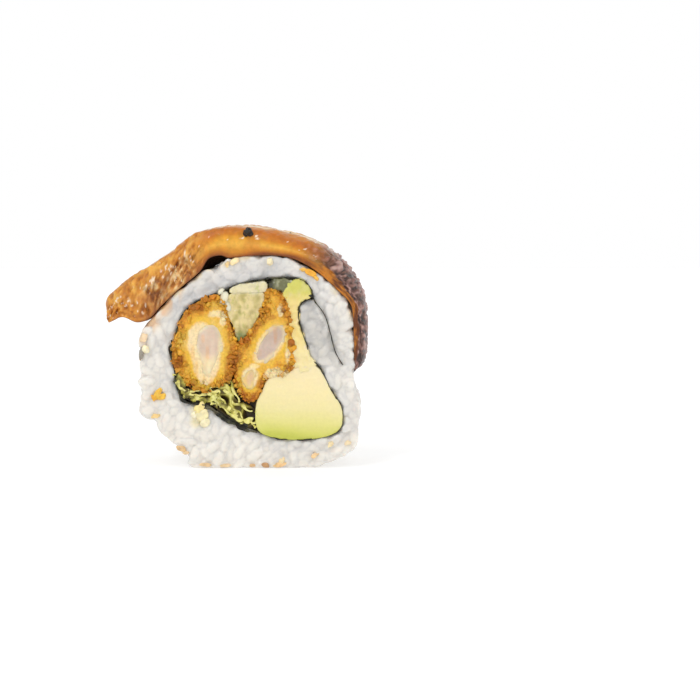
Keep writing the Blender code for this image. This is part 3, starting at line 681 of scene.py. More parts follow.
def rice_tone(points, at, ahead, sizes, rng):
    """Each grain has its own tone, with painted shade in the creases between grains, near the hole, high up
    on the left and on the inner tongue.
    """
    ahead = unit(ahead)
    reach = (sizes[:, 0] - sizes[:, 1]) / 2
    shares = np.linspace(-1, 1, 5)
    spots = (at[:, None] + ahead[:, None] * shares[None, :, None] * reach[:, None, None]).reshape(-1, 3)
    owner = np.repeat(np.arange(len(at)), len(shares))
    radius = np.repeat(sizes[:, 1] / 2, len(shares))
    tree = kdtree.KDTree(len(spots))
    for i, spot in enumerate(spots):
        tree.insert(spot, i)
    tree.balance()
    own_tone = rng.uniform(-1, 1, len(at))
    tone = np.zeros(len(points))
    crease = np.ones(len(points))
    for i, point in enumerate(points):
        near = tree.find_n(point, 4)
        first = owner[near[0][1]]
        tone[i] = own_tone[first]
        gap = near[0][2] - radius[near[0][1]]
        for _, j, distance in near[1:]:
            if owner[j] != first:
                crease[i] = min(1.0, (distance - radius[j] - gap) / 0.5)
                break
    # painted shade: greyer in the creases between grains
    colours = mix(RICE_CREASE_SHADE, RICE_TONE, np.clip(crease, 0, 1) ** 0.6)
    colours *= (1 + 0.04 * tone)[:, None]
    flat = points[:, (0, 2)]
    x, z = flat.T
    # painted shade: greyer and bluer near the hole, more so high up, and high up on the left under the eel
    near_hole = step(4.2 + 1.2 * noise(points, 0.3, 6) + HOLE_FIELD.at(flat), 0, 2.6)
    high = step(z, 30, 40)
    shade = np.clip(near_hole * (0.4 + 0.3 * high) + 0.35 * high * step(-x, -14, -4), 0, 1)
    colours = shaded(colours, (0.80, 0.815, 0.86), shade)
    # painted shade: the inner part of the rice tongue behind the seaweed is darker
    behind = step(x, 14.5, 15.5) * step(24.5 - x, 0, 1.5)
    tongue = behind * step(z, 23, 26) * step(39.5 - z, 0, 1)
    inner = tongue * (x - 14.8 < (40.0 - z) * 0.55 + 1.6)
    colours = shaded(colours, (0.80, 0.80, 0.80), inner)
    under = step(1.6 - RICE_FIELD.at(flat), 0, 1.2) * step(z, 33, 36)
    stain = under * step(noise(points, 0.45, 5), -0.2, 0.5)
    colours = shaded(colours, (1.0, 0.84, 0.56), stain * 0.8)
    sauce = step(3.6 - RICE_FIELD.at(flat), 0, 2.6) * step(-11.5 - x, 0, 3)
    sauce *= step(z, 26.5, 32.5) * step(noise(points, 0.5, 7), -0.6, 0.0)
    colours = mix(colours, (0.72, 0.40, 0.15), sauce * 0.7)
    mash = step(3.4 - np.hypot((x + 8.4) * 1.3, z - 12.2) + noise(points, 0.5, 8), 0, 1.6)
    return mix(colours, (0.88, 0.79, 0.50), mash * 0.75)


# Fillings


def face_mesh(loop, spacing, seed):
    """Triangles that fill a closed loop. Its own points come first."""
    field = Field(loop, grid=max(spacing, 0.12), margin=0.6)
    low, high = loop.min(0), loop.max(0)
    gx, gz = np.meshgrid(np.arange(low[0], high[0], spacing), np.arange(low[1], high[1], spacing * 0.87))
    gx[1::2] += spacing / 2
    grid = columns(gx.ravel(), gz.ravel())
    rng = np.random.default_rng(seed)
    grid += rng.uniform(-0.12, 0.12, grid.shape) * spacing
    inside = grid[field.at(grid) > spacing * 0.55]
    flat = np.vstack([loop, inside])
    edges = [(i, (i + 1) % len(loop)) for i in range(len(loop))]
    got = geometry.delaunay_2d_cdt([Vector(p) for p in flat], edges, [], 1, 1e-6)
    return np.array(got[0]), np.array(got[2])


def through(outline, spacing, relief, paint, seed, rounding=0.3, sway=0.0, grow=0.15):
    """A filling that runs through the roll: points, faces and colours. Relief(flat, end) lifts its
    cut faces, paint(points) colours it, and grow presses it against what is beside it."""
    loop = curve(outline, spacing * 1.3)
    inward = inward_side(loop)
    loop = loop - inward * grow
    if sway:
        loop = loop + inward * (sway * rough_noise(solid_points(loop, seed), 0.9, seed))[:, None]
    rim = loop + inward * rounding
    flat, triangles = face_mesh(rim, spacing, seed)
    points = []
    faces = []
    for end in ENDS:
        lift = relief(flat, end)
        lift[: len(loop)] = lift[: len(loop)] * 0.6 - rounding * 0.25
        base = sum(len(p) for p in points)
        points.append(solid_points(flat, end * (HALF + lift)))
        faces.append(triangles + base)
    front, back = 0, len(flat)
    rings = [front]
    for y, share in ((-HALF + 0.3, 0.3), (-HALF + 1.0, 0.0), (-HALF + 4, 0.0), (0, 0.0),
                     (HALF - 4, 0.0), (HALF - 1.0, 0.0), (HALF - 0.3, 0.3)):
        rings.append(sum(len(p) for p in points))
        ring = loop + inward * rounding * share
        if sway:
            ring = ring + inward * sway * 0.6 * rough_noise(solid_points(loop, y), 0.8, seed)[:, None]
        points.append(solid_points(ring, y))
    rings.append(back)
    count = len(loop)
    here = np.arange(count)
    there = (here + 1) % count
    for a, b in zip(rings, rings[1:]):
        faces.append(columns(a + here, a + there, b + there))
        faces.append(columns(a + here, b + there, b + here))
    points = np.vstack(points)
    return points, np.vstack(faces), paint(points)


def crust_share(flat, skin, cores):
    """0 at a batter's rim and 1 beside its meat."""
    edge = np.maximum(skin.at(flat), 0)
    meat = np.maximum(np.min([-core.at(flat) for core in cores], axis=0), 0)
    return edge / (edge + meat + 0.01)


# Size of the crust's lumps, how far crumbs may stand out, and how many lie on the crusts and loose
CRUMB = 0.85
CRUMB_REACH = 1.15
CRUST_CRUMBS = 420
LOOSE_CRUMBS = 620
# Creamy and brown patches in the batter: place, and half sizes along x and z
CREAM = (
    ((-4.9, 35.5), 1.7, 0.9), ((8.8, 22.0), 2.2, 1.0), ((-3.2, 33.8), 0.7, 1.0),
    ((11.8, 27.0), 0.7, 2.4), ((-10.6, 31.0), 0.6, 1.2), ((4.2, 23.6), 1.1, 0.7), ((10.2, 36.4), 0.6, 1.4),
)
BROWN = (
    ((-9.4, 37.2), 2.6, 1.0), ((-13.4, 23.6), 1.4, 2.8), ((-1.4, 24.0), 1.5, 4.8), ((2.6, 16.6), 1.8, 1.3),
    ((7.8, 34.8), 1.3, 0.7), ((0.9, 20.6), 1.0, 3.2), ((-8.6, 19.2), 3.0, 0.7),
    ((5.0, 19.4), 1.2, 1.0), ((1.6, 29.4), 1.6, 0.7), ((11.8, 23.2), 1.2, 0.8),
)


def patch_share(points, patches):
    """How far points lie in patches of the cut face."""
    x, z = points[:, 0], points[:, 2]
    reach = np.min([np.hypot((x - cx) / rx, (z - cz) / rz) for (cx, cz), rx, rz in patches], axis=0)
    return step(1.25 - reach + 0.35 * rough_noise(points, 0.6, 28), 0, 0.5)


def batter_paint(skin, cores, fleshes):
    """Fried crust: brown crumb at the rim, golden further in, creamy where the meat soaks in."""

    def paint(points):
        away, number = cells(points, CRUMB, 31)
        share = crust_share(points[:, (0, 2)], skin, cores)
        share = share + 0.3 * rough_noise(points, 0.24, 3) + 0.14 * (number - 0.5)
        colours = ramp(
            share, (0.0, (0.61, 0.25, 0.022)), (0.14, (0.71, 0.33, 0.026)), (0.32, (0.76, 0.40, 0.04)),
            (0.52, (0.77, 0.45, 0.055)), (0.74, (0.77, 0.47, 0.08)), (0.94, (0.79, 0.53, 0.15)),
            (1.15, (0.82, 0.62, 0.28)),
        )
        rim = 1 - step(share, 0.3, 0.65)
        colours *= 1 + ((0.24 * number - 0.12) * (0.35 + 0.65 * rim))[:, None]
        colours = mix(colours, (0.89, 0.77, 0.46), patch_share(points, CREAM) * 0.8)
        burnt = step(rough_noise(points, 0.55, 21), 0.35, 0.85) * step(0.5 - share, 0, 0.35)
        scattered = step(rough_noise(points, 0.8, 22), -0.7, 0.2)
        burnt = np.maximum(burnt, patch_share(points, BROWN) * scattered)
        colours = shaded(colours, (0.70, 0.51, 0.42), burnt * 0.85)
        # painted shade: darker in the gaps between crumbs, most at the rim
        between = step(away, 0.55, 0.9) * (0.1 + 0.5 * rim)
        colours = shaded(colours, (0.76, 0.58, 0.45), between)
        flesh = np.max([field.at(points[:, (0, 2)]) for field in fleshes], axis=0)
        flesh = flesh + 0.4 * rough_noise(points, 0.5, 25)
        halo = step(flesh, -2.0, -0.9) * (0.3 + 0.7 * step(noise(points, 0.35, 26), -0.3, 0.4))
        colours = mix(colours, (0.81, 0.51, 0.045), halo * 0.65)
        streaks = step(noise(points, (1.2, 0.3, 0.3), 27), -0.1, 0.6)
        soaked = mix((0.86, 0.69, 0.42), (0.84, 0.59, 0.30), streaks)
        return mix(colours, soaked, step(flesh, -0.6, 0.25) * 0.85)

    return paint


def batter_relief(skin, cores):
    """Craggy lumps that are flatter beside the meat."""

    def relief(flat, end):
        points = solid_points(flat, end * 7.0)
        away, number = cells(points, CRUMB, 31)
        crumb = 1 - step(crust_share(flat, skin, cores) + 0.2 * noise(points, 0.3, 5), 0.2, 0.65)
        lump = (0.5 + number) * (1 - (away / 0.75) ** 2)
        lift = 0.36 * (0.15 + 0.85 * crumb) * lump + 0.24 * rough_noise(points, 0.4, 4)
        inside_meat = step(np.max([core.at(flat) for core in cores], axis=0), 0.4, 0.9)
        return np.clip(lift, -0.6, 0.7) - 0.6 * inside_meat

    return relief


def crumb_lumps(rng, flat, end, lift, sizes, tone):
    """Ragged crumbs at these places of the cut faces."""
    at = columns(flat[:, 0], end * (HALF + lift), flat[:, 1])
    ahead = rng.normal(0, 1, (len(flat), 3))
    up = rng.normal(0, 1, (len(flat), 3))
    sizes = sizes[:, None] * rng.uniform(0.35, 1.35, (len(flat), 3))
    points, faces, _ = lumps(at, ahead, up, sizes, 2, craggy=0.8, waves=1.9, seed=5)
    points[:, 1] = np.clip(points[:, 1], -HALF - CRUMB_REACH, HALF + CRUMB_REACH)
    colour = (tone(at) if callable(tone) else tone) * rng.uniform(0.75, 1.2, (len(at), 1))
    return points, faces, np.repeat(colour, len(points) // len(at), axis=0)


def crust_crumbs(rng, outline, skin, cores, count, paint, relief):
    """Crumbs of fried batter on the cut faces, thickest at the rim."""
    loop = np.array(outline)
    flat = rng.uniform(loop.min(0) - 0.4, loop.max(0) + 0.4, (count * 8, 2))
    share = crust_share(flat, skin, cores)
    chance = rng.uniform(0, 1, len(flat))
    keep = (skin.at(flat) > -0.35) & (chance < 0.9 - 1.9 * share)
    flat = flat[keep][:count]
    end = rng.choice(ENDS, len(flat))
    size = 0.3 + 1.2 * rng.uniform(0, 1, len(flat)) ** 1.8
    lift = np.where(end < 0, relief(flat, -1), relief(flat, 1))
    return crumb_lumps(rng, flat, end, lift + size * 0.05, size, paint)


def joined(*meshes):
    """One mesh from several sets of points, faces and colours."""
    points, faces, tones = [], [], []
    start = 0
    for p, f, t in meshes:
        points.append(p)
        faces.append(f + start)
        tones.append(t)
        start += len(p)
    return np.vstack(points), np.vstack(faces), np.vstack(tones)


def meat_paint(outline, pink, cream, pink_low, seed):
    """Prawn meat, clear and pinkish in the middle with a paler ring round it."""
    field = Field(curve(outline, 0.5))

    def paint(points):
        deep = field.at(points[:, (0, 2)]) + 0.35 * rough_noise(points, 0.5, seed)
        colours = mix(cream, pink, step(deep, 0.2, 1.2) * step(points[:, 2], pink_low - 1.5, pink_low + 1))
        streak = step(noise(points, (1.1, 0.3, 0.22), seed + 1), -0.2, 0.6)
        colours = shaded(colours, (1.12, 1.15, 1.18), streak * 0.6)
        vein = step(noise(points, (0.9, 0.3, 0.3), seed + 2), 0.3, 0.8)
        return shaded(colours, (1.08, 0.84, 0.62), vein * 0.55)

    return paint


def meat_relief(outline, seed):
    field = Field(curve(outline, 0.5))

    def relief(flat, end):
        dome = 0.15 * step(field.at(flat), 0.2, 2.0)
        return dome + 0.07 * rough_noise(solid_points(flat, end * 3.0), 0.8, seed)

    return relief


def avocado_paint(points):
    """Pale yellow flesh that turns green towards the skin side at the bottom and right."""
    x, z = points[:, 0], points[:, 2]
    down = (z - 7.2) + 0.06 * (x - 14) + 0.5 * noise(points, 0.25, 3)
    down += 0.18 * noise(points, (0.15, 0.4, 1.5), 4)
    return ramp(
        down, (0.0, (0.52, 0.54, 0.09)), (1.3, (0.63, 0.62, 0.15)), (3.5, (0.74, 0.69, 0.26)),
        (7.0, (0.81, 0.72, 0.37)), (11.5, (0.86, 0.745, 0.42)), (16.0, (0.86, 0.73, 0.44)),
    )


def avocado_relief(flat, end):
    """Fine ridges that the knife left."""
    points = solid_points(flat, end * 5.0)
    return 0.12 + 0.035 * noise(points, (0.12, 0.4, 1.6), 6) + 0.08 * noise(points, 0.3, 7)


def slice_paint(points):
    z = points[:, 2]
    blob = step(z + 0.6 * noise(points, 0.6, 3), 38.0, 41.2)
    colours = mix((0.84, 0.72, 0.38), (0.83, 0.66, 0.26), step(z, 26, 31))
    colours = mix(colours, (0.63, 0.60, 0.14), blob)
    pale = step(rough_noise(points, 0.5, 8), 0.25, 0.7)
    return shaded(colours, (1.04, 1.02, 1.5), pale * 0.8)


def soft_relief(flat, end):
    return 0.1 + 0.3 * rough_noise(solid_points(flat, end * 4.0), 0.45, 13)


def cucumber_paint(points):
    """Watery flesh with paler seeds, and dark skin at the wedge's tip."""
    x, z = points[:, 0], points[:, 2]
    flesh = step(rough_noise(points, (0.65, 0.4, 0.45), 31), -0.7, 0.8)
    colours = mix((0.47, 0.39, 0.13), (0.75, 0.62, 0.31), flesh)
    colours = mix(colours, (0.80, 0.73, 0.50), step(z + 0.5 * noise(points, 0.5, 34), 39.6, 41.0) * 0.7)
    green = step(rough_noise(points, (1.2, 0.5, 0.7), 33), 0.3, 0.8)
    colours = shaded(colours, (0.72, 0.80, 0.5), green * 0.7)
    skin = step(31.7 + 0.9 * noise(points, 0.7, 5) - 0.5 * np.abs(x - 0.6) - z, -0.6, 1.2)
    return mix(colours, (0.17, 0.22, 0.06), skin * 0.9)


def cucumber_relief(flat, end):
    points = solid_points(flat, end * 4.0)
    seeds = step(noise(points, (0.8, 0.5, 0.45), 15), 0.2, 0.6)
    return 0.05 + 0.16 * rough_noise(points, 0.6, 11) + 0.2 * seeds


def sliver_paint(points):
    colours = mix((0.16, 0.16, 0.07), (0.46, 0.46, 0.29), step(rough_noise(points, 0.6, 3), -0.5, 0.6))
    return shaded(colours, 0.3, step(8.9 - points[:, 0], 0, 0.8))


def rib_sheet(path, thickness, rows, bend, spacing=0.22):
    """A thin sheet that runs through the roll along a path: points and faces."""
    line = curve(path, spacing, closed=False)
    count = len(line)
    points = []
    for y in np.linspace(-HALF, HALF, rows):
        moved, thick, ys = bend(line, y)
        half = left_side(moved) * (thick / 2)[:, None] * thickness
        points.append(np.vstack([
            columns((moved + half)[:, 0], ys, (moved + half)[:, 1]),
            columns((moved - half)[:, 0], ys, (moved - half)[:, 1])[::-1],
        ]))
    ring = 2 * count
    here = np.arange(ring)
    there = (here + 1) % ring
    faces = []
    for r in range(rows - 1):
        a, b = r * ring, (r + 1) * ring
        faces.append(columns(a + here, a + there, b + there, b + here))
    for a in (0, (rows - 1) * ring):
        i = np.arange(count - 1)
        faces.append(columns(a + i, a + i + 1, a + ring - i - 2, a + ring - i - 1))
    quads = np.vstack(faces)
    return np.vstack(points), np.vstack([quads[:, :3], quads[:, (0, 2, 3)]])


def frill(height, seed, waves=0.42):
    """Loose ruffles of a leaf, different at each depth, with a ragged cut edge."""

    def bend(line, y):
        run = np.arange(len(line)) * 0.22
        share = np.linspace(0, 1, len(line))
        fade = np.clip(np.minimum(share, 1 - share) * 8, 0, 1)
        wander = columns(run, y * 0.25, 0.0)
        out = noise(wander, waves, seed) + 0.55 * noise(wander, waves * 2.3, seed + 1)
        slide = noise(wander, waves * 1.2, seed + 2) * height * 0.9
        ahead = unit(np.gradient(line, axis=0))
        moved = line + left_side(line) * (height * fade * out)[:, None] + ahead * (slide * fade)[:, None]
        thick = 0.45 + 0.9 * np.maximum(0, noise(wander, waves * 1.6, seed + 3) + 0.2)
        ragged = 0.45 * noise(wander, waves * 2, seed + 4) - 0.15
        return moved, thick, y + np.sign(y) * ragged * step(abs(y), 12, 16)

    return bend


def leaf_paint(pale, seed):
    """Lettuce, pale on its frills, with painted shade from olive to nearly black in patches for its folds,
    and nearly black painted shade deeper in the roll than its cut.
    """

    def paint(points):
        frills = step(rough_noise(points, (0.42, 0.25, 0.42), seed), -0.8 - pale, 0.35 - pale)
        # painted shade: the dark end of the ramp stands for the shade in the folds
        colours = ramp(
            frills, (0.0, (0.07, 0.05, 0.01)), (0.3, (0.26, 0.23, 0.035)), (0.6, (0.55, 0.50, 0.09)),
            (1.0, (0.82, 0.76, 0.26)),
        )
        # painted shade: nearly black deeper in the roll than the cut faces
        deep = step(HALF - 0.5 - np.abs(points[:, 1]), 0, 2.2)
        return mix(colours, (0.08, 0.075, 0.016), deep * 0.85)

    return paint


def make_leaf(name, ribbons, *bodies):
    """A lettuce leaf from ribbons of (path, ruffle height, thickness, paleness, seed) and bodies."""
    sheets = list(bodies)
    for path, height, thickness, pale, seed in ribbons:
        points, faces = rib_sheet(path, thickness, 26, frill(height * 1.25, seed, 0.5))
        sheets.append((points, faces, leaf_paint(pale, seed)(points)))
    add_piece(name + "_leaf", joined(*sheets), LEAF_LOOK, (name,))


def nori_bend(line, y):
    """Small wrinkles in the seaweed, thicker and thinner places, and a ragged cut."""
    spots = solid_points(line, y)
    share = np.linspace(0, 1, len(line))
    in_slot = step(share, TONGUE_SHARE - 0.05, TONGUE_SHARE + 0.02)
    sunk = np.interp(share, np.linspace(0, 1, len(NORI_SUNK)), NORI_SUNK)
    lift = -sunk * (1 - in_slot) + (0.1 - 0.06 * in_slot) * rough_noise(spots, (0.6, 0.2, 0.6), 41)
    thick = 0.5 + 1.0 * np.maximum(0, rough_noise(spots, (0.5, 0.1, 0.5), 43) - 0.15)
    ragged = 0.3 * noise(spots, 0.9, 44) * step(abs(y), 14, 16.4)
    return line + left_side(line) * lift[:, None], thick, y + np.sign(y) * ragged


def nori_paint(points):
    blotch = step(rough_noise(points, 0.7, 51), -0.1, 0.8)
    colours = mix((0.012, 0.011, 0.006), (0.09, 0.088, 0.045), blotch)
    sheen = step(noise(points, (0.35, 0.3, 0.6), 52), 0.2, 0.7) * step(17 - points[:, 2], 0, 1)
    return mix(colours, (0.17, 0.15, 0.09), sheen * 0.6)


def leaf_body_mesh():
    """Crumpled leaf between the frills: pale ridges, painted shade nearly black in its folds, and darker
    towards the bottom.
    """

    def crumple(points):
        bent = points + 0.9 * drift(points, 0.3, 55)
        return 1 - 2.4 * np.abs(noise(bent, (0.34, 0.12, 0.4), 58)) + 0.3 * noise(points, 0.9, 59)

    def relief(flat, end):
        return -1.1 + 0.9 * crumple(solid_points(flat, end * HALF))

    def paint(points):
        flat = points[:, (0, 2)]
        ridge = crumple(solid_points(flat, np.where(points[:, 1] < 0, -HALF, HALF)))
        # painted shade: the tones follow the crumpled relief and are nearly black in its folds
        colours = ramp(
            ridge + 0.25 * noise(points, 0.6, 60), (-0.2, (0.035, 0.02, 0.008)), (0.35, (0.13, 0.10, 0.02)),
            (0.75, (0.34, 0.30, 0.05)), (1.05, (0.58, 0.54, 0.12)), (1.35, (0.76, 0.72, 0.28)),
        )
        # darker towards the bottom
        low = step(13.5 - 0.35 * flat[:, 0] - flat[:, 1], -0.5, 3.5)
        return shaded(colours, (0.42, 0.36, 0.35), low)

    return through(LEAF_BODY, 0.2, relief, paint, 54, rounding=0.3, sway=0.35, grow=0.1)


def pale_leaf(outline, seed):
    """A thick pale part of the leaf that comes out to the cut."""

    def relief(flat, end):
        return -0.25 + 0.4 * rough_noise(solid_points(flat, end * HALF), 0.4, seed + 1)

    def paint(points):
        rise = rough_noise(points, (0.55, 0.2, 0.55), seed + 2)
        # painted shade: nearly black to olive where the rise is low
        return ramp(
            rise, (-0.8, (0.07, 0.055, 0.012)), (-0.25, (0.30, 0.26, 0.035)), (0.15, (0.55, 0.51, 0.09)),
            (0.8, (0.76, 0.74, 0.28)),
        )

    return through(outline, 0.2, relief, paint, seed, rounding=0.35, sway=0.5, grow=0.0)


def make_nori():
    folds = (
        ([(-14.2, 20.4), (-13.4, 17.4), (-11.6, 15.3), (-8.6, 14.7), (-6.2, 13.9)], 0.25, 0.75),
        ([(-8.2, 14.6), (-5.4, 13.2), (-3.6, 11.7), (-1.2, 10.5), (1.8, 9.2), (4.6, 8.3)], 0.3, 0.7),
        ([(-4.6, 13.2), (-2.2, 11.3), (0.6, 10.2), (2.6, 9.9)], 0.4, 0.7),
        ([(6.8, 43.6), (8.2, 43.9), (10.6, 44.0), (12.2, 43.8)], 0.2, 0.6),
        ([(16.4, 38.9), (17.0, 39.6), (17.5, 39.3)], 0.3, 0.5),
        ([(-15.0, 29.6), (-15.2, 26.6), (-14.4, 23.2), (-13.9, 21.0)], 0.35, 0.5),
    )
    points, faces = rib_sheet(NORI_PATH, 0.34, 26, nori_bend)
    sheets = [(points, faces, nori_paint(points))]
    for i, (path, height, thickness) in enumerate(folds):
        points, faces = rib_sheet(path, thickness, 20, frill(height, 60 + i))
        sheets.append((points, faces, nori_paint(points)))
    add_piece("nori_sheet", joined(*sheets), NORI_LOOK, ("nori",))


def make_backing():
    """A dark seaweed-coloured sheet of painted shade, set back behind the fillings, which closes the gaps
    between them.
    """
    outline = (NORI_LINE - left_side(NORI_LINE) * (NORI_SUNK[:, None] + 0.4))[:TONGUE_START:8]

    def relief(flat, end):
        return -2.0 + 0.5 * rough_noise(solid_points(flat, end * 9.0), 0.35, 90)

    # painted shade: dark brown blotches
    def paint(points):
        blotch = step(rough_noise(points, 0.4, 91), -0.2, 0.8)
        return mix((0.022, 0.014, 0.005), (0.12, 0.075, 0.02), blotch)

    body = through(outline, 0.8, relief, paint, 92, rounding=0.5, grow=0.0)
    add_piece("shade_backing", body, NORI_LOOK)


# Eel

EEL_HALF = 16.2
EEL_ROWS = 330
SPINE_Y = 1.5
CHAR_TONE = (0.02, 0.017, 0.015)
# Middle and size of each burnt speck
CHAR_SPOTS = (
    ((2.9, -HALF + 0.5, 54.6), 2.3), ((-13.5, -HALF + 3.0, 50.4), 0.8), ((12.5, -9.0, 53.6), 1.1),
    ((8.0, 10.0, 54.1), 1.1), ((-21.0, 12.0, 45.6), 0.9),
)


def eel_section():
    """Stations round the eel's section: (y share, height share), from the front of the underside
    up the front face, over the top and down the back."""
    up = np.linspace(0, 0.72, 20)
    corner = np.linspace(0, math.pi / 2, 12)[1:]
    rows = [(-1.0, h, 0.0) for h in up]
    rows += [(-1.0, 0.72 + 0.28 * math.sin(t), 1 - math.cos(t)) for t in corner]
    rows += [(y, 1.0, 1.0) for y in np.linspace(-1, 1, 92)[1:-1]]
    rows += [(1.0, 0.72 + 0.28 * math.sin(t), 1 - math.cos(t)) for t in corner[::-1]]
    rows += [(1.0, h, 0.0) for h in up[::-1]]
    rows += [(y, 0.0, 1.0) for y in np.linspace(1, -1, 26)[1:-1]]
    return np.array(rows)


def resampled(path, share):
    """Points of a smooth open path at these shares of its length."""
    line = curve(path, 0.25, closed=False)
    return columns(*(np.interp(share, np.linspace(0, 1, len(line)), line[:, k]) for k in (0, 1)))


def make_eel():
    share = np.linspace(0, 1, EEL_ROWS)
    paths = (EEL_TOP, EEL_CONTACT, EEL_CONTACT_DEEP)
    top, under, deep_under = (resampled(path, share) for path in paths)
    along = np.concatenate([[0], np.cumsum(np.linalg.norm(np.diff(top, axis=0), axis=1))])
    rise = top - under
    thick = np.linalg.norm(rise, axis=1)
    section = eel_section()
    s = np.repeat(share, len(section))
    a = np.repeat(along, len(section))
    side, high, in_share = (np.tile(section[:, k], EEL_ROWS) for k in range(3))
    t = np.repeat(thick, len(section))
    radius = 1.5 + 1.7 * step(s, 0.42, 0.62)
    on_side = np.abs(side) >= 0.999
    half = EEL_HALF + 0.35 * noise(columns(s * 9, 0, 0), 1.0, 6)
    y = np.where(on_side, np.sign(side) * (half - radius * in_share), side * (half - radius))
    lower = 0.1 + 0.22 * step(s, 0.45, 0.65) * step(1.02 - s, 0, 0.2)
    inner = step(HALF - np.abs(y), 3.0, 5.5)[:, None]
    base = np.repeat(under, len(section), axis=0)
    fall = np.repeat(deep_under, len(section), axis=0) - base
    base = base + fall * inner
    run = np.repeat(top, len(section), axis=0) - base
    flat = base + run * high[:, None]
    # the charred end is rounded right down its outer edge
    drop = lower * np.clip(1 - (half - np.abs(y)) / (radius * 1.5), 0, 1) ** 2 * high
    flat -= run * drop[:, None]
    points = columns(flat[:, 0], y, flat[:, 1]).reshape(EEL_ROWS, -1, 3)
    points += ragged_ends(points, s, y).reshape(EEL_ROWS, -1, 3)
    across = np.roll(points, -1, axis=1) - np.roll(points, 1, axis=1)
    forward = np.gradient(points, axis=0)
    out = unit(np.cross(forward, across)).reshape(-1, 3)
    points = points.reshape(-1, 3)
    if (out[: len(section)] * (points[: len(section)] - points[: len(section)].mean(0))).sum() < 0:
        out = -out
    lift, tone = eel_surface(points, s, a, y, high)
    # painted shade: nearly black on the underside where it falls away from the rice, back from the cut
    # faces
    gap_shade = step(np.linalg.norm(fall, axis=1), 0.3, 1.2) * step(0.2 - high, 0, 0.2)
    gap_shade *= step(HALF - np.abs(y), 0.6, 2.0)
    tone = mix(tone, (0.012, 0.006, 0.003), gap_shade * 0.95)
    thin = np.clip(t / 4.5, 0.25, 1)
    points = points + out * (lift * thin)[:, None]
    keep_eel_clear(points)
    count = len(section)
    here = np.arange(count)
    there = (here + 1) % count
    faces = []
    for r in range(EEL_ROWS - 1):
        i, j = r * count, (r + 1) * count
        faces.append(columns(i + here, i + there, j + there, j + here))
    faces = np.vstack(faces)
    caps = []
    for start, middle in ((0, len(points)), (len(points) - count, len(points) + 1)):
        caps += columns(start + here, start + there, middle).tolist()
    points = np.vstack([points, points[:count].mean(0), points[-count:].mean(0)])
    tone = np.vstack([tone, tone[:1], tone[-1:]])
    add_piece("eel_slab", (points, faces.tolist() + caps, tone), EEL_LOOK, ("eel",))


def ragged_ends(points, s, y):
    """Moves that make both ends of the eel uneven along the roll, but not at the front face."""
    ahead = unit(np.gradient(points, axis=0).reshape(-1, 3))
    line = columns(y, 0, 0)
    wander = rough_noise(line, 0.17, 97) - rough_noise(np.array([[-HALF, 0, 0]]), 0.17, 97)[0]
    charred = np.clip(1.3 * wander, -1.6, 1.0) * step(s, 0.86, 1.0)
    flap = np.clip(1.4 * np.abs(wander), 0, 1.8) * step(0.14 - s, 0, 0.14)
    return ahead * (charred + flap)[:, None]


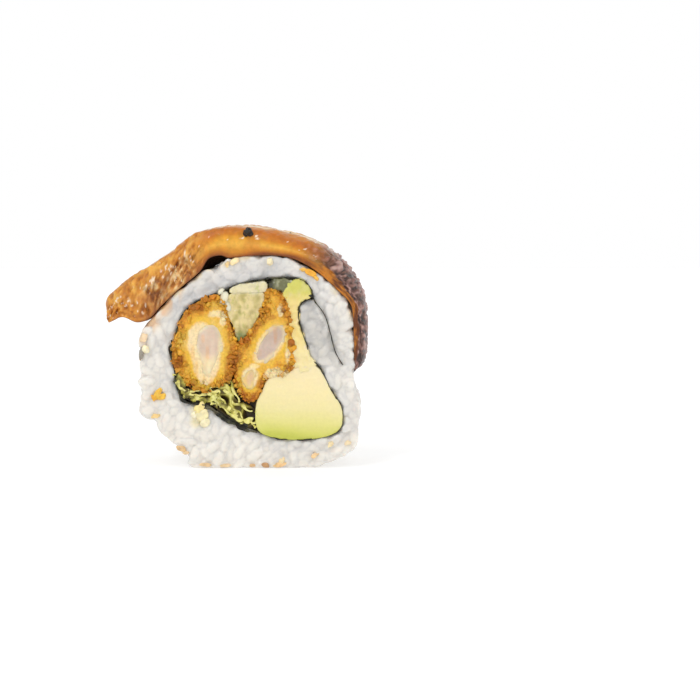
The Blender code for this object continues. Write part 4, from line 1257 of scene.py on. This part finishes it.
def eel_surface(points, s, a, y, high):
    """Relief and colours of the eel, from its folds at the flap to its charred end, with painted shade and
    highlight on the flap's folds and painted glints on its cut face.
    """
    spots = columns(a, y, high * 5.0)
    flap = step(0.37 + 0.03 * noise(spots, 0.2, 70) - s, 0, 0.12)
    char = step(s + 0.025 * noise(points, 0.2, 71), 0.60, 0.70)
    face = step(np.abs(y), EEL_HALF - 2.6, EEL_HALF - 0.9) * step(high, 0.02, 0.15)
    tall = high * 6.0
    slant = columns(a * 0.95 + tall * 0.3, y, tall * 0.95 - a * 0.3)
    warp = slant + 1.3 * drift(slant, 0.18, 61)
    fibres = rough_noise(spots, (0.10, 0.3, 0.9), 72)
    lobe = noise(warp, (0.17, 0.25, 0.42), 74)
    small_lobe = noise(warp, (0.4, 0.5, 0.85), 73)
    fold = 1 - 2 * np.abs(noise(warp, (0.2, 0.25, 0.5), 95))
    small_fold = 1 - 2 * np.abs(noise(warp, (0.6, 0.6, 1.3), 96))
    grit = rough_noise(slant, (0.9, 1.0, 1.8), 88)
    inner_flap = step(0.74 + 0.12 * noise(spots, 0.2, 92) - high, 0, 0.14) * step(s, 0.09, 0.16)
    folds = (0.6 * fold + 0.5 * small_fold) * (0.55 + 0.45 * inner_flap) + 0.45 * grit
    creases = np.maximum(np.exp(-((lobe / 0.1) ** 2)), 0.75 * np.exp(-((small_lobe / 0.12) ** 2)))
    creases *= 0.35 + 0.65 * inner_flap
    swell = noise(spots, (0.09, 0.2, 0.3), 64)
    flap_lift = 0.95 * folds - 0.25 - creases
    lift = face * ((0.3 * swell + 0.07 * fibres) * (1 - flap) + flap * flap_lift)
    on_top = step(high, 0.7, 0.95) * (1 - face)
    vee = a + 0.95 * np.abs(y - SPINE_Y) + 0.9 * noise(spots, 0.12, 75)
    stripes = 0.5 + 0.5 * np.sin(vee * 2 * math.pi / 2.6)
    spine = np.exp(-(((y - SPINE_Y - 0.5 * noise(spots, 0.08, 76)) / 0.8) ** 2))
    lift += on_top * (1 - char) * (0.16 * stripes - 0.5 * spine + 0.22 * rough_noise(spots, 0.35, 77))
    crease = np.abs(rough_noise(spots, (0.5, 0.28, 0.5), 78))
    bark_zone = char * step(high, 0.35, 0.6)
    lift += bark_zone * (0.85 * crease - 0.3 + 0.16 * rough_noise(spots, 1.1, 79))
    lift += face * char * 0.3 * rough_noise(spots, (0.45, 0.4, 0.8), 89)
    band = high + 0.13 * noise(spots, (0.12, 0.2, 0.3), 85) + 0.05 * fibres
    tone = ramp(
        band, (0.0, (0.22, 0.06, 0.01)), (0.13, (0.40, 0.13, 0.014)), (0.3, (0.62, 0.25, 0.02)),
        (0.5, (0.78, 0.41, 0.055)), (0.66, (0.72, 0.33, 0.025)), (0.84, (0.58, 0.20, 0.012)),
        (1.0, (0.50, 0.15, 0.01)),
    )
    tone = shaded(tone, (0.85, 0.66, 0.55), step(rough_noise(spots, 0.25, 86), 0.1, 0.8) * 0.6)
    # painted shade where the flap's folds sink and painted highlight where they rise
    smooth_tone = ramp(
        folds + 0.5 * rough_noise(spots, 0.3, 87), (-0.6, (0.40, 0.135, 0.02)), (0.1, (0.61, 0.24, 0.03)),
        (0.7, (0.78, 0.40, 0.07)),
    )
    folded_tone = ramp(
        folds + 0.4 * rough_noise(spots, 0.35, 94), (-0.5, (0.27, 0.09, 0.025)),
        (0.0, (0.45, 0.165, 0.038)), (0.4, (0.61, 0.26, 0.06)), (0.8, (0.74, 0.40, 0.12)),
        (1.1, (0.85, 0.60, 0.29)),
    )
    # painted shade in the creases of the folds
    folded_tone = shaded(folded_tone, (0.44, 0.36, 0.4), creases * 0.75)
    flap_tone = mix(smooth_tone, folded_tone, inner_flap)
    tone = mix(tone, flap_tone, flap)
    # painted glints: pale cream specks on the glazed cut face stand for highlights on the wet glaze
    glint_zone = face * step(0.9 - high, 0, 0.1) * (0.3 * flap + 0.25 * step(high, 0.55, 0.75))
    specks = step(rough_noise(spots, (1.3, 1.2, 1.9), 93) + glint_zone, 0.98, 1.2) * (glint_zone > 0.1)
    tone = mix(tone, (1.0, 0.88, 0.68), specks * 0.85)
    flesh = mix((0.80, 0.61, 0.34), (0.79, 0.73, 0.61), step(rough_noise(spots, 0.25, 80), -0.3, 0.5))
    flesh = shaded(flesh, (0.93, 0.66, 0.36), stripes**3 * 0.8)
    flesh = mix(flesh, (0.30, 0.21, 0.16), spine * 0.75)
    border = step(np.abs(y) + 1.5 * noise(spots, 0.15, 81), 8.0, 11.5)
    flesh = mix(flesh, (0.58, 0.21, 0.018), border)
    scorch = step(0.24 - s + 0.08 * rough_noise(spots, 0.2, 82), 0, 0.12) * (1 - border * 0.6)
    flesh = mix(flesh, (0.24, 0.13, 0.07), scorch * 0.75)
    tone = mix(tone, flesh, on_top)
    bark = ramp(
        crease + 0.25 * rough_noise(spots, 1.3, 83), (0.0, (0.035, 0.021, 0.018)),
        (0.25, (0.115, 0.055, 0.042)), (0.55, (0.26, 0.135, 0.11)), (0.9, (0.48, 0.31, 0.27)),
    )
    limit = 0.62 - 0.2 * s - 0.5 * step(s, 0.93, 0.99)
    outer = step(high + 0.14 * rough_noise(spots, 0.35, 84), limit, limit + 0.1)
    raw = 0.7 - 0.9 * (high - 0.2) + 0.6 * rough_noise(spots, (0.35, 0.3, 0.9), 90)
    raw -= 0.9 * step(s, 0.78, 0.93)
    under_bark = mix((0.13, 0.035, 0.008), (0.54, 0.19, 0.014), step(raw, 0.0, 0.9))
    end_tone = mix(under_bark, bark, outer)
    tone = mix(tone, end_tone, char)
    below = step(0.06 - high, 0, 0.05)
    return lift, mix(tone, (0.16, 0.05, 0.012), below * 0.8)


def keep_eel_clear(points):
    """Keeps the eel inside the solid part's box."""
    points[:, 0] = np.clip(points[:, 0], -30.5, 30.3)
    points[:, 2] = np.minimum(points[:, 2], 55.9)


def make_char():
    """Burnt specks stuck to the top of the eel."""
    rng = np.random.default_rng(19)
    at, ahead, sizes = [], [], []
    for middle, size in CHAR_SPOTS:
        for _ in range(5):
            at.append(np.array(middle) + rng.normal(0, 0.22 * size, 3))
            ahead.append(rng.normal(0, 1, 3))
            sizes.append(size * rng.uniform(0.35, 0.75, 3))
    up = rng.normal(0, 1, (len(at), 3))
    body = lumps(np.array(at), np.array(ahead), up, sizes, 2, CHAR_TONE, craggy=0.5, waves=1.4, seed=20)
    add_piece("char_specks", body, EEL_LOOK)


# Stage, lights and camera

FLOOR_HALF = 1.5
FLOOR_COLOUR = (0.55, 0.55, 0.55)
FLOOR_LIGHT = 0.5
HORIZON_LIGHT = 1.0
OVERHEAD_LIGHT = 0.6
# Soft lights from far away: name, azimuth, elevation, spread in degrees and strength
SUNS = (
    ("key", -35, 58, 40, 0.56), ("spark", -20, 35, 5, 0.4), ("fill", 50, 40, 50, 0.3),
    ("back", 170, 65, 30, 0.22),
)


def make_stage():
    """A pale floor that is bright enough to take only faint shadows."""
    bm = bmesh.new()
    bmesh.ops.create_grid(bm, x_segments=8, y_segments=8, size=FLOOR_HALF)
    mesh = bpy.data.meshes.new("floor")
    bm.to_mesh(mesh)
    bm.free()
    floor = linked("floor", mesh)
    look = make_look("floor_look", (0.6, 0.7), 0.0, 0.02, 0.005, colour=FLOOR_COLOUR)
    shader = look.node_tree.nodes["Principled BSDF"]
    fill(shader, Emission_Color=(1, 1, 1, 1), Emission_Strength=FLOOR_LIGHT)
    mesh.materials.append(look)


def from_angles(azimuth, elevation):
    """The direction of something at these degrees. Azimuth 0 is the viewer's side and 90 the right."""
    turn, tilt = math.radians(azimuth), math.radians(elevation)
    return Vector((math.sin(turn) * math.cos(tilt), -math.cos(turn) * math.cos(tilt), math.sin(tilt)))


def add_sun(name, azimuth, elevation, spread, strength):
    data = bpy.data.lights.new(name, "SUN")
    data.angle = math.radians(spread)
    data.energy = strength
    lamp = linked(name, data)
    lamp.rotation_mode = "QUATERNION"
    lamp.rotation_quaternion = from_angles(azimuth, elevation).to_track_quat("Z", "Y")


def make_world():
    """A studio that is white at the horizon and softer overhead."""
    world = bpy.data.worlds.new("studio")
    world.use_nodes = True
    nodes = world.node_tree.nodes
    links = world.node_tree.links
    place = nodes.new("ShaderNodeTexCoord")
    parts = nodes.new("ShaderNodeSeparateXYZ")
    fade = fill(
        nodes.new("ShaderNodeMapRange"), From_Min=0.2, From_Max=0.6, To_Min=HORIZON_LIGHT,
        To_Max=OVERHEAD_LIGHT,
    )
    fade.interpolation_type = "SMOOTHSTEP"
    links.new(place.outputs["Generated"], parts.inputs["Vector"])
    links.new(parts.outputs["Z"], fade.inputs["Value"])
    background = fill(nodes["Background"], Color=(1, 1, 1, 1))
    links.new(fade.outputs["Result"], background.inputs["Strength"])
    bpy.context.scene.world = world


def make_lights():
    bpy.context.scene.view_settings.view_transform = "Standard"
    make_world()
    for sun in SUNS:
        add_sun(*sun)


CAMERA_AIM = (26.1, -16.5, 27.35)
CAMERA_DISTANCE = 600
CAMERA_ELEVATION = 3.5
FRAME_WIDTH = 161


def make_camera():
    data = bpy.data.cameras.new("camera")
    data.sensor_width = 36
    data.lens = 36 * CAMERA_DISTANCE / FRAME_WIDTH
    data.clip_start = 0.01
    camera = linked("camera", data)
    back = from_angles(0, CAMERA_ELEVATION)
    camera.location = Vector((np.array(CAMERA_AIM) + SHIFT) * MM) + back * CAMERA_DISTANCE * MM
    camera.rotation_mode = "QUATERNION"
    camera.rotation_quaternion = (-back).to_track_quat("-Z", "Y")
    bpy.context.scene.camera = camera


RICE_LOOK = make_look("rice_look", (0.3, 0.48), 0.05, 1.5, 0.03, gloss=0.35, gloss_rough=0.1, glow=0.6,
                      glow_depth=(1.8, 1.5, 1.3))
NORI_LOOK = make_look("nori_look", (0.4, 0.65), 0.06, 2.0, 0.35)
EEL_LOOK = make_look("eel_look", (0.3, 0.5), 0.26, 0.9, 0.12, gloss=0.35, gloss_rough=0.05, glow=0.12,
                     glow_depth=(1.2, 0.4, 0.1), ior=1.25)
BATTER_LOOK = make_look("batter_look", (0.4, 0.65), 0.12, 1.8, 0.12, gloss=0.15, glow=0.3,
                        glow_depth=(1.2, 0.6, 0.2), ior=1.33)
BIT_LOOK = make_look("bit_look", (0.35, 0.5), 0.05, 1.4, 0.1, gloss=0.15, glow=0.15,
                     glow_depth=(0.8, 0.5, 0.2))
MEAT_LOOK = make_look("meat_look", (0.25, 0.4), 0.05, 1.0, 0.04, gloss=0.4, glow=0.6,
                      glow_depth=(2.0, 1.0, 0.7))
AVOCADO_LOOK = make_look("avocado_look", (0.35, 0.5), 0.03, 1.5, 0.025, gloss=0.1, glow=0.35,
                         glow_depth=(1.2, 1.0, 0.4), ior=1.33)
CUCUMBER_LOOK = make_look("cucumber_look", (0.2, 0.35), 0.06, 1.2, 0.06, gloss=0.4, gloss_rough=0.08,
                          glow=0.6, glow_depth=(1.6, 1.5, 0.7))
LEAF_LOOK = make_look("leaf_look", (0.3, 0.5), 0.05, 1.5, 0.1, gloss=0.2, glow=0.2,
                      glow_depth=(0.5, 0.6, 0.2))


PRAWNS = (
    ("prawn_left", PRAWN_LEFT, (0.66, 0.51, 0.39), (0.84, 0.67, 0.42), 26.0, 3),
    ("prawn_right", PRAWN_RIGHT, (0.55, 0.42, 0.34), (0.74, 0.56, 0.36), 0.0, 4),
    ("prawn_tail", PRAWN_TAIL, (0.74, 0.50, 0.28), (0.82, 0.57, 0.22), 0.0, 5),
)
BATTERS = (
    ("batter_left", BATTER_LEFT, (PRAWN_LEFT,), (FLESH_LEFT,), 1),
    ("batter_right", BATTER_RIGHT, (PRAWN_RIGHT, PRAWN_TAIL), (PRAWN_RIGHT, PRAWN_TAIL), 2),
)
# Name, outline, spacing, relief, paint, seed, rounding, sway, growth, look and slot
PLAIN_FILLINGS = (
    ("avocado_wedge", AVOCADO_WEDGE, 0.28, avocado_relief, avocado_paint, 6, 0.12, 0.0, 0.56,
     AVOCADO_LOOK, "avocado"),
    ("avocado_slice", AVOCADO_SLICE, 0.25, soft_relief, slice_paint, 7, 0.3, 0.3, 0.6,
     AVOCADO_LOOK, "avocado"),
    ("cucumber_wedge", CUCUMBER_WEDGE, 0.25, cucumber_relief, cucumber_paint, 8, 0.15, 0.12, 0.42,
     CUCUMBER_LOOK, "cucumber"),
    ("cucumber_block", CUCUMBER_BLOCK, 0.25, cucumber_relief, cucumber_paint, 9, 0.15, 0.12, 0.42,
     CUCUMBER_LOOK, "cucumber"),
    ("cucumber_sliver", CUCUMBER_SLIVER, 0.25, cucumber_relief, sliver_paint, 10, 0.3, 0.4, 0.5,
     CUCUMBER_LOOK, "cucumber"),
)
# Ribbons of leaf: path, ruffle height, thickness, paleness and seed
LETTUCE_UPPER = (
    ([(-14.3, 21.8), (-13.9, 19.6), (-12.6, 17.9), (-10.0, 16.8), (-7.0, 16.9),
      (-4.6, 16.9)], 0.4, 0.85, 0.6, 20),
    ([(-13.9, 20.8), (-12.4, 18.6), (-9.6, 17.6), (-6.6, 17.9), (-4.0, 18.9)], 0.5, 0.6, 0.35, 21),
    ([(-6.2, 18.3), (-4.4, 17.0), (-2.8, 15.4), (-1.4, 14.0), (0.2, 12.9)], 0.6, 0.75, 0.45, 22),
    ([(-4.8, 19.3), (-3.6, 20.4), (-2.2, 20.2), (-1.4, 18.9), (-0.6, 17.2),
      (0.6, 15.2)], 0.6, 0.6, 0.3, 23),
    ([(-3.0, 18.2), (-1.6, 16.8), (-0.2, 15.0), (1.4, 13.9), (3.6, 13.2)], 0.6, 0.6, 0.2, 24),
)
LETTUCE_LOWER = (
    ([(-12.4, 16.6), (-9.6, 15.9), (-6.6, 15.8), (-4.0, 15.2), (-2.0, 13.5),
      (0.2, 12.0)], 0.4, 0.7, 0.3, 30),
    ([(-6.0, 15.0), (-3.6, 13.9), (-1.6, 12.4), (0.8, 11.6), (3.8, 11.6)], 0.55, 0.65, 0.35, 31),
    ([(-1.2, 13.2), (0.6, 12.6), (1.8, 11.2), (3.4, 9.9), (4.4, 9.4)], 0.5, 0.7, 0.25, 32),
    ([(0.8, 10.4), (2.2, 10.9), (3.6, 10.5), (4.6, 11.6), (4.4, 13.2)], 0.45, 0.6, 0.2, 33),
)


def make_batters():
    for name, outline, meats, fleshes, seed in BATTERS:
        rng = np.random.default_rng(seed)
        skin = Field(curve(outline, 0.5))
        cores = [Field(curve(meat, 0.5)) for meat in meats]
        paint = batter_paint(skin, cores, [Field(curve(flesh, 0.5)) for flesh in fleshes])
        relief = batter_relief(skin, cores)
        body = through(outline, 0.19, relief, paint, seed, rounding=0.25, sway=0.35, grow=0.55)
        crumb = crust_crumbs(rng, outline, skin, cores, CRUST_CRUMBS, paint, relief)
        add_piece(name + "_crust", joined(body, crumb), BATTER_LOOK, (name,))


def make_loose_crumbs():
    """Crumbs that fell between the fillings."""
    rng = np.random.default_rng(12)
    others = [Field(curve(o, 0.6)) for o in (AVOCADO_WEDGE, CUCUMBER_WEDGE, CUCUMBER_BLOCK, AVOCADO_SLICE)]
    fried = [Field(curve(o, 0.6)) for o in (BATTER_LEFT, BATTER_RIGHT)]
    flat = rng.uniform(HOLE_LOOP.min(0), HOLE_LOOP.max(0), (9000, 2))
    off = np.min([-f.at(flat) for f in others], axis=0)
    near = np.min([-f.at(flat) for f in fried], axis=0)
    low = step(flat[:, 1], 15, 19)
    keep = (HOLE_FIELD.at(flat) > 0.25) & (off > 0.1) & (near > -0.5) & (near < 1.1)
    keep &= rng.uniform(0, 1, len(flat)) < low
    flat = flat[keep][:LOOSE_CRUMBS]
    end = rng.choice(ENDS, len(flat))
    size = rng.uniform(0.5, 1.1, len(flat))
    lift = rng.uniform(-1.3, 0.15, len(flat))
    share = rng.uniform(0, 1, len(flat))
    tone = ramp(share, (0.0, (0.30, 0.10, 0.015)), (0.45, (0.62, 0.25, 0.02)), (1.0, (0.80, 0.44, 0.05)))
    add_piece("loose_crumbs", crumb_lumps(rng, flat, end, lift, size, tone), BATTER_LOOK)


def make_fillings():
    make_batters()
    make_loose_crumbs()
    for name, outline, pink, cream, pink_low, seed in PRAWNS:
        paint = meat_paint(outline, pink, cream, pink_low, seed)
        body = through(outline, 0.22, meat_relief(outline, seed), paint, seed, 0.15, 0.4, 0.3)
        add_piece(name + "_meat", body, MEAT_LOOK, (name,))
    for name, outline, spacing, relief, paint, seed, rounding, sway, grow, look, slot in PLAIN_FILLINGS:
        body = through(outline, spacing, relief, paint, seed, rounding, sway, grow)
        add_piece(name + "_flesh", body, look, (name,))
    bodies = (leaf_body_mesh(), pale_leaf(LEAF_TUFT, 65), pale_leaf(LEAF_BAND, 66))
    make_leaf("lettuce_upper", LETTUCE_UPPER, *bodies)
    make_leaf("lettuce_lower", LETTUCE_LOWER)


# Small things on the rice
SEED_TONE = (0.72, 0.55, 0.30)
FLAKE_TONE = (0.85, 0.50, 0.06)
STRAY_TONE = (0.80, 0.74, 0.55)
SKIN_SEEDS = 48
SKIN_SEED_SIZE = (3.0, 1.7, 0.8)
# Stray grains: x, z, length, width and turn in degrees
STRAYS = ((-2.8, 39.3, 3.4, 1.9, 72), (-2.0, 37.4, 2.6, 1.5, 108), (-3.5, 40.8, 1.8, 1.3, 30))
# Place (x, z), length, width, height, turn in degrees and tone
FACE_BITS = (
    ((-18.3, 17.2), 2.8, 1.3, 0.8, 62, FLAKE_TONE),
    ((-17.5, 16.6), 2.2, 1.3, 0.8, 20, FLAKE_TONE),
    ((-18.9, 16.4), 1.5, 1.0, 0.7, -30, (0.80, 0.38, 0.03)),
    ((-18.7, 12.1), 1.8, 1.0, 0.7, 15, (0.84, 0.60, 0.26)),
    ((-8.6, 13.6), 3.0, 2.0, 0.7, 70, (0.88, 0.72, 0.30)),
    ((-7.9, 12.2), 3.0, 2.3, 0.6, 110, (0.87, 0.76, 0.44)),
    ((-7.3, 10.9), 2.2, 1.8, 0.5, 60, (0.86, 0.77, 0.50)),
    ((-9.6, 12.5), 2.2, 1.7, 0.5, 30, (0.85, 0.77, 0.54)),
    ((-22.0, 26.4), 2.6, 1.1, 1.0, 84, (0.30, 0.27, 0.22)),
    ((-21.3, 30.2), 2.0, 1.5, 0.6, 60, (0.82, 0.62, 0.40)),
    ((-21.0, 27.6), 1.9, 1.4, 0.6, 110, (0.88, 0.78, 0.52)),
    ((17.0, 45.0), 2.6, 1.3, 1.0, -25, (0.86, 0.42, 0.04)),
    ((15.3, 45.8), 1.4, 0.9, 0.8, -10, (0.85, 0.50, 0.10)),
    ((18.3, 43.9), 1.2, 0.8, 0.7, -50, (0.84, 0.46, 0.08)),
    ((-0.4, 47.7), 1.9, 1.2, 0.8, 30, (0.88, 0.70, 0.40)),
    ((7.6, 47.6), 1.8, 1.3, 0.7, 80, (0.88, 0.76, 0.50)),
    ((-2.1, 47.0), 1.2, 0.9, 0.7, 80, (0.86, 0.62, 0.30)),
    ((-12.9, 4.6), 2.1, 1.2, 0.8, -30, (0.78, 0.52, 0.26)),
    ((-11.6, 3.6), 1.3, 0.9, 0.7, 10, (0.82, 0.58, 0.33)),
    ((21.6, 5.6), 1.6, 1.1, 0.7, 70, (0.86, 0.70, 0.42)),
    ((25.6, 5.9), 1.4, 1.0, 0.7, 10, (0.84, 0.68, 0.44)),
    ((18.0, 3.0), 1.7, 1.0, 0.8, 35, (0.80, 0.56, 0.30)),
    ((10.4, 1.8), 1.6, 1.1, 0.7, 60, (0.84, 0.66, 0.38)),
    ((9.8, 0.9), 2.6, 1.0, 0.8, 4, (0.76, 0.50, 0.24)),
    ((6.6, 0.8), 1.6, 0.9, 0.7, -6, (0.48, 0.27, 0.12)),
    ((3.6, 0.7), 1.2, 0.8, 0.6, 0, (0.62, 0.40, 0.20)),
    ((-2.6, 0.7), 2.2, 0.8, 0.6, 3, (0.78, 0.58, 0.34)),
    ((-7.2, 0.8), 2.4, 0.9, 0.6, -3, (0.74, 0.52, 0.28)),
)


def bit_mesh(rng, bits, y_at, lift):
    """Flakes and seeds on one cut face."""
    at, ahead, up, sizes, tones = [], [], [], [], []
    for (x, z), length, width, height, turn, tone in bits:
        angle = math.radians(turn)
        at.append((x, y_at + lift, z))
        ahead.append((math.cos(angle), rng.uniform(-0.15, 0.15), math.sin(angle)))
        up.append((0, 1, 0))
        sizes.append((length, width, height))
        tones.append(tone)
    at, ahead, up, sizes = (np.array(v, float) for v in (at, ahead, up, sizes))
    points, faces, tone = lumps(at, ahead, up, sizes, 3, tones, blunt=0.8, craggy=0.5, waves=1.3, seed=14)
    return points, faces, tone * (1 + 0.15 * rough_noise(points, 0.9, 15)[:, None])


def make_bits():
    """Flakes and seeds on both cut faces and on the outside of the rice."""
    rng = np.random.default_rng(15)
    front = bit_mesh(rng, FACE_BITS, -HALF, -0.1)
    back = bit_mesh(rng, FACE_BITS[3::3], HALF, 0.1)
    points, faces, tone = joined(front, back, outside_seeds(rng))
    points[:, 2] = np.maximum(points[:, 2], BOARD)
    add_piece("seeds_and_flakes", (points, faces, tone), BIT_LOOK)
    add_piece("stray_grains", joined(*(stray_grains(end) for end in ENDS)), RICE_LOOK)


def outside_seeds(rng):
    """Sesame seeds pressed into the skin of the rice."""
    side = inward_side(RICE_LOOP)
    forward = columns(side[:, 1], -side[:, 0])
    i = rng.integers(len(RICE_LOOP), size=SKIN_SEEDS)
    i = i[RICE_LOOP[i][:, 1] < 33]
    count = len(i)
    y = rng.uniform(-HALF + 1.5, HALF - 1.5, count)
    at = solid_points(RICE_LOOP[i] + side[i] * 0.3, y)
    at[:, 2] = np.maximum(at[:, 2], 0.6)
    angle = rng.uniform(0, math.pi, count)
    ahead = columns(forward[i, 0] * np.cos(angle), np.sin(angle), forward[i, 1] * np.cos(angle))
    sizes = SKIN_SEED_SIZE * rng.uniform(0.75, 1.0, (count, 1))
    tones = mix(SEED_TONE, (0.86, 0.72, 0.48), rng.uniform(0, 1, count))
    return lumps(at, ahead, solid_points(side[i], 0.0), sizes, 2, tones, blunt=0.85, seed=16)


def stray_grains(end):
    """Rice that strayed between the cucumber and the batter."""
    at = np.array([(x, end * (HALF - 0.25), z) for x, z, *_ in STRAYS])
    ahead = np.array([(math.cos(math.radians(t)), 0.1, math.sin(math.radians(t))) for *_, t in STRAYS])
    up = np.tile((0.0, 1.0, 0.0), (len(STRAYS), 1))
    sizes = np.array([(length, width, width) for _, _, length, width, _ in STRAYS])
    return lumps(at, ahead, up, sizes, 3, STRAY_TONE, blunt=0.8, craggy=0.12, waves=0.8, seed=18)


make_camera()
make_lights()
make_stage()
for half in RICE_HALVES:
    rice_mass(*half)
make_nori()
make_backing()
make_fillings()
make_bits()
make_eel()
make_char()
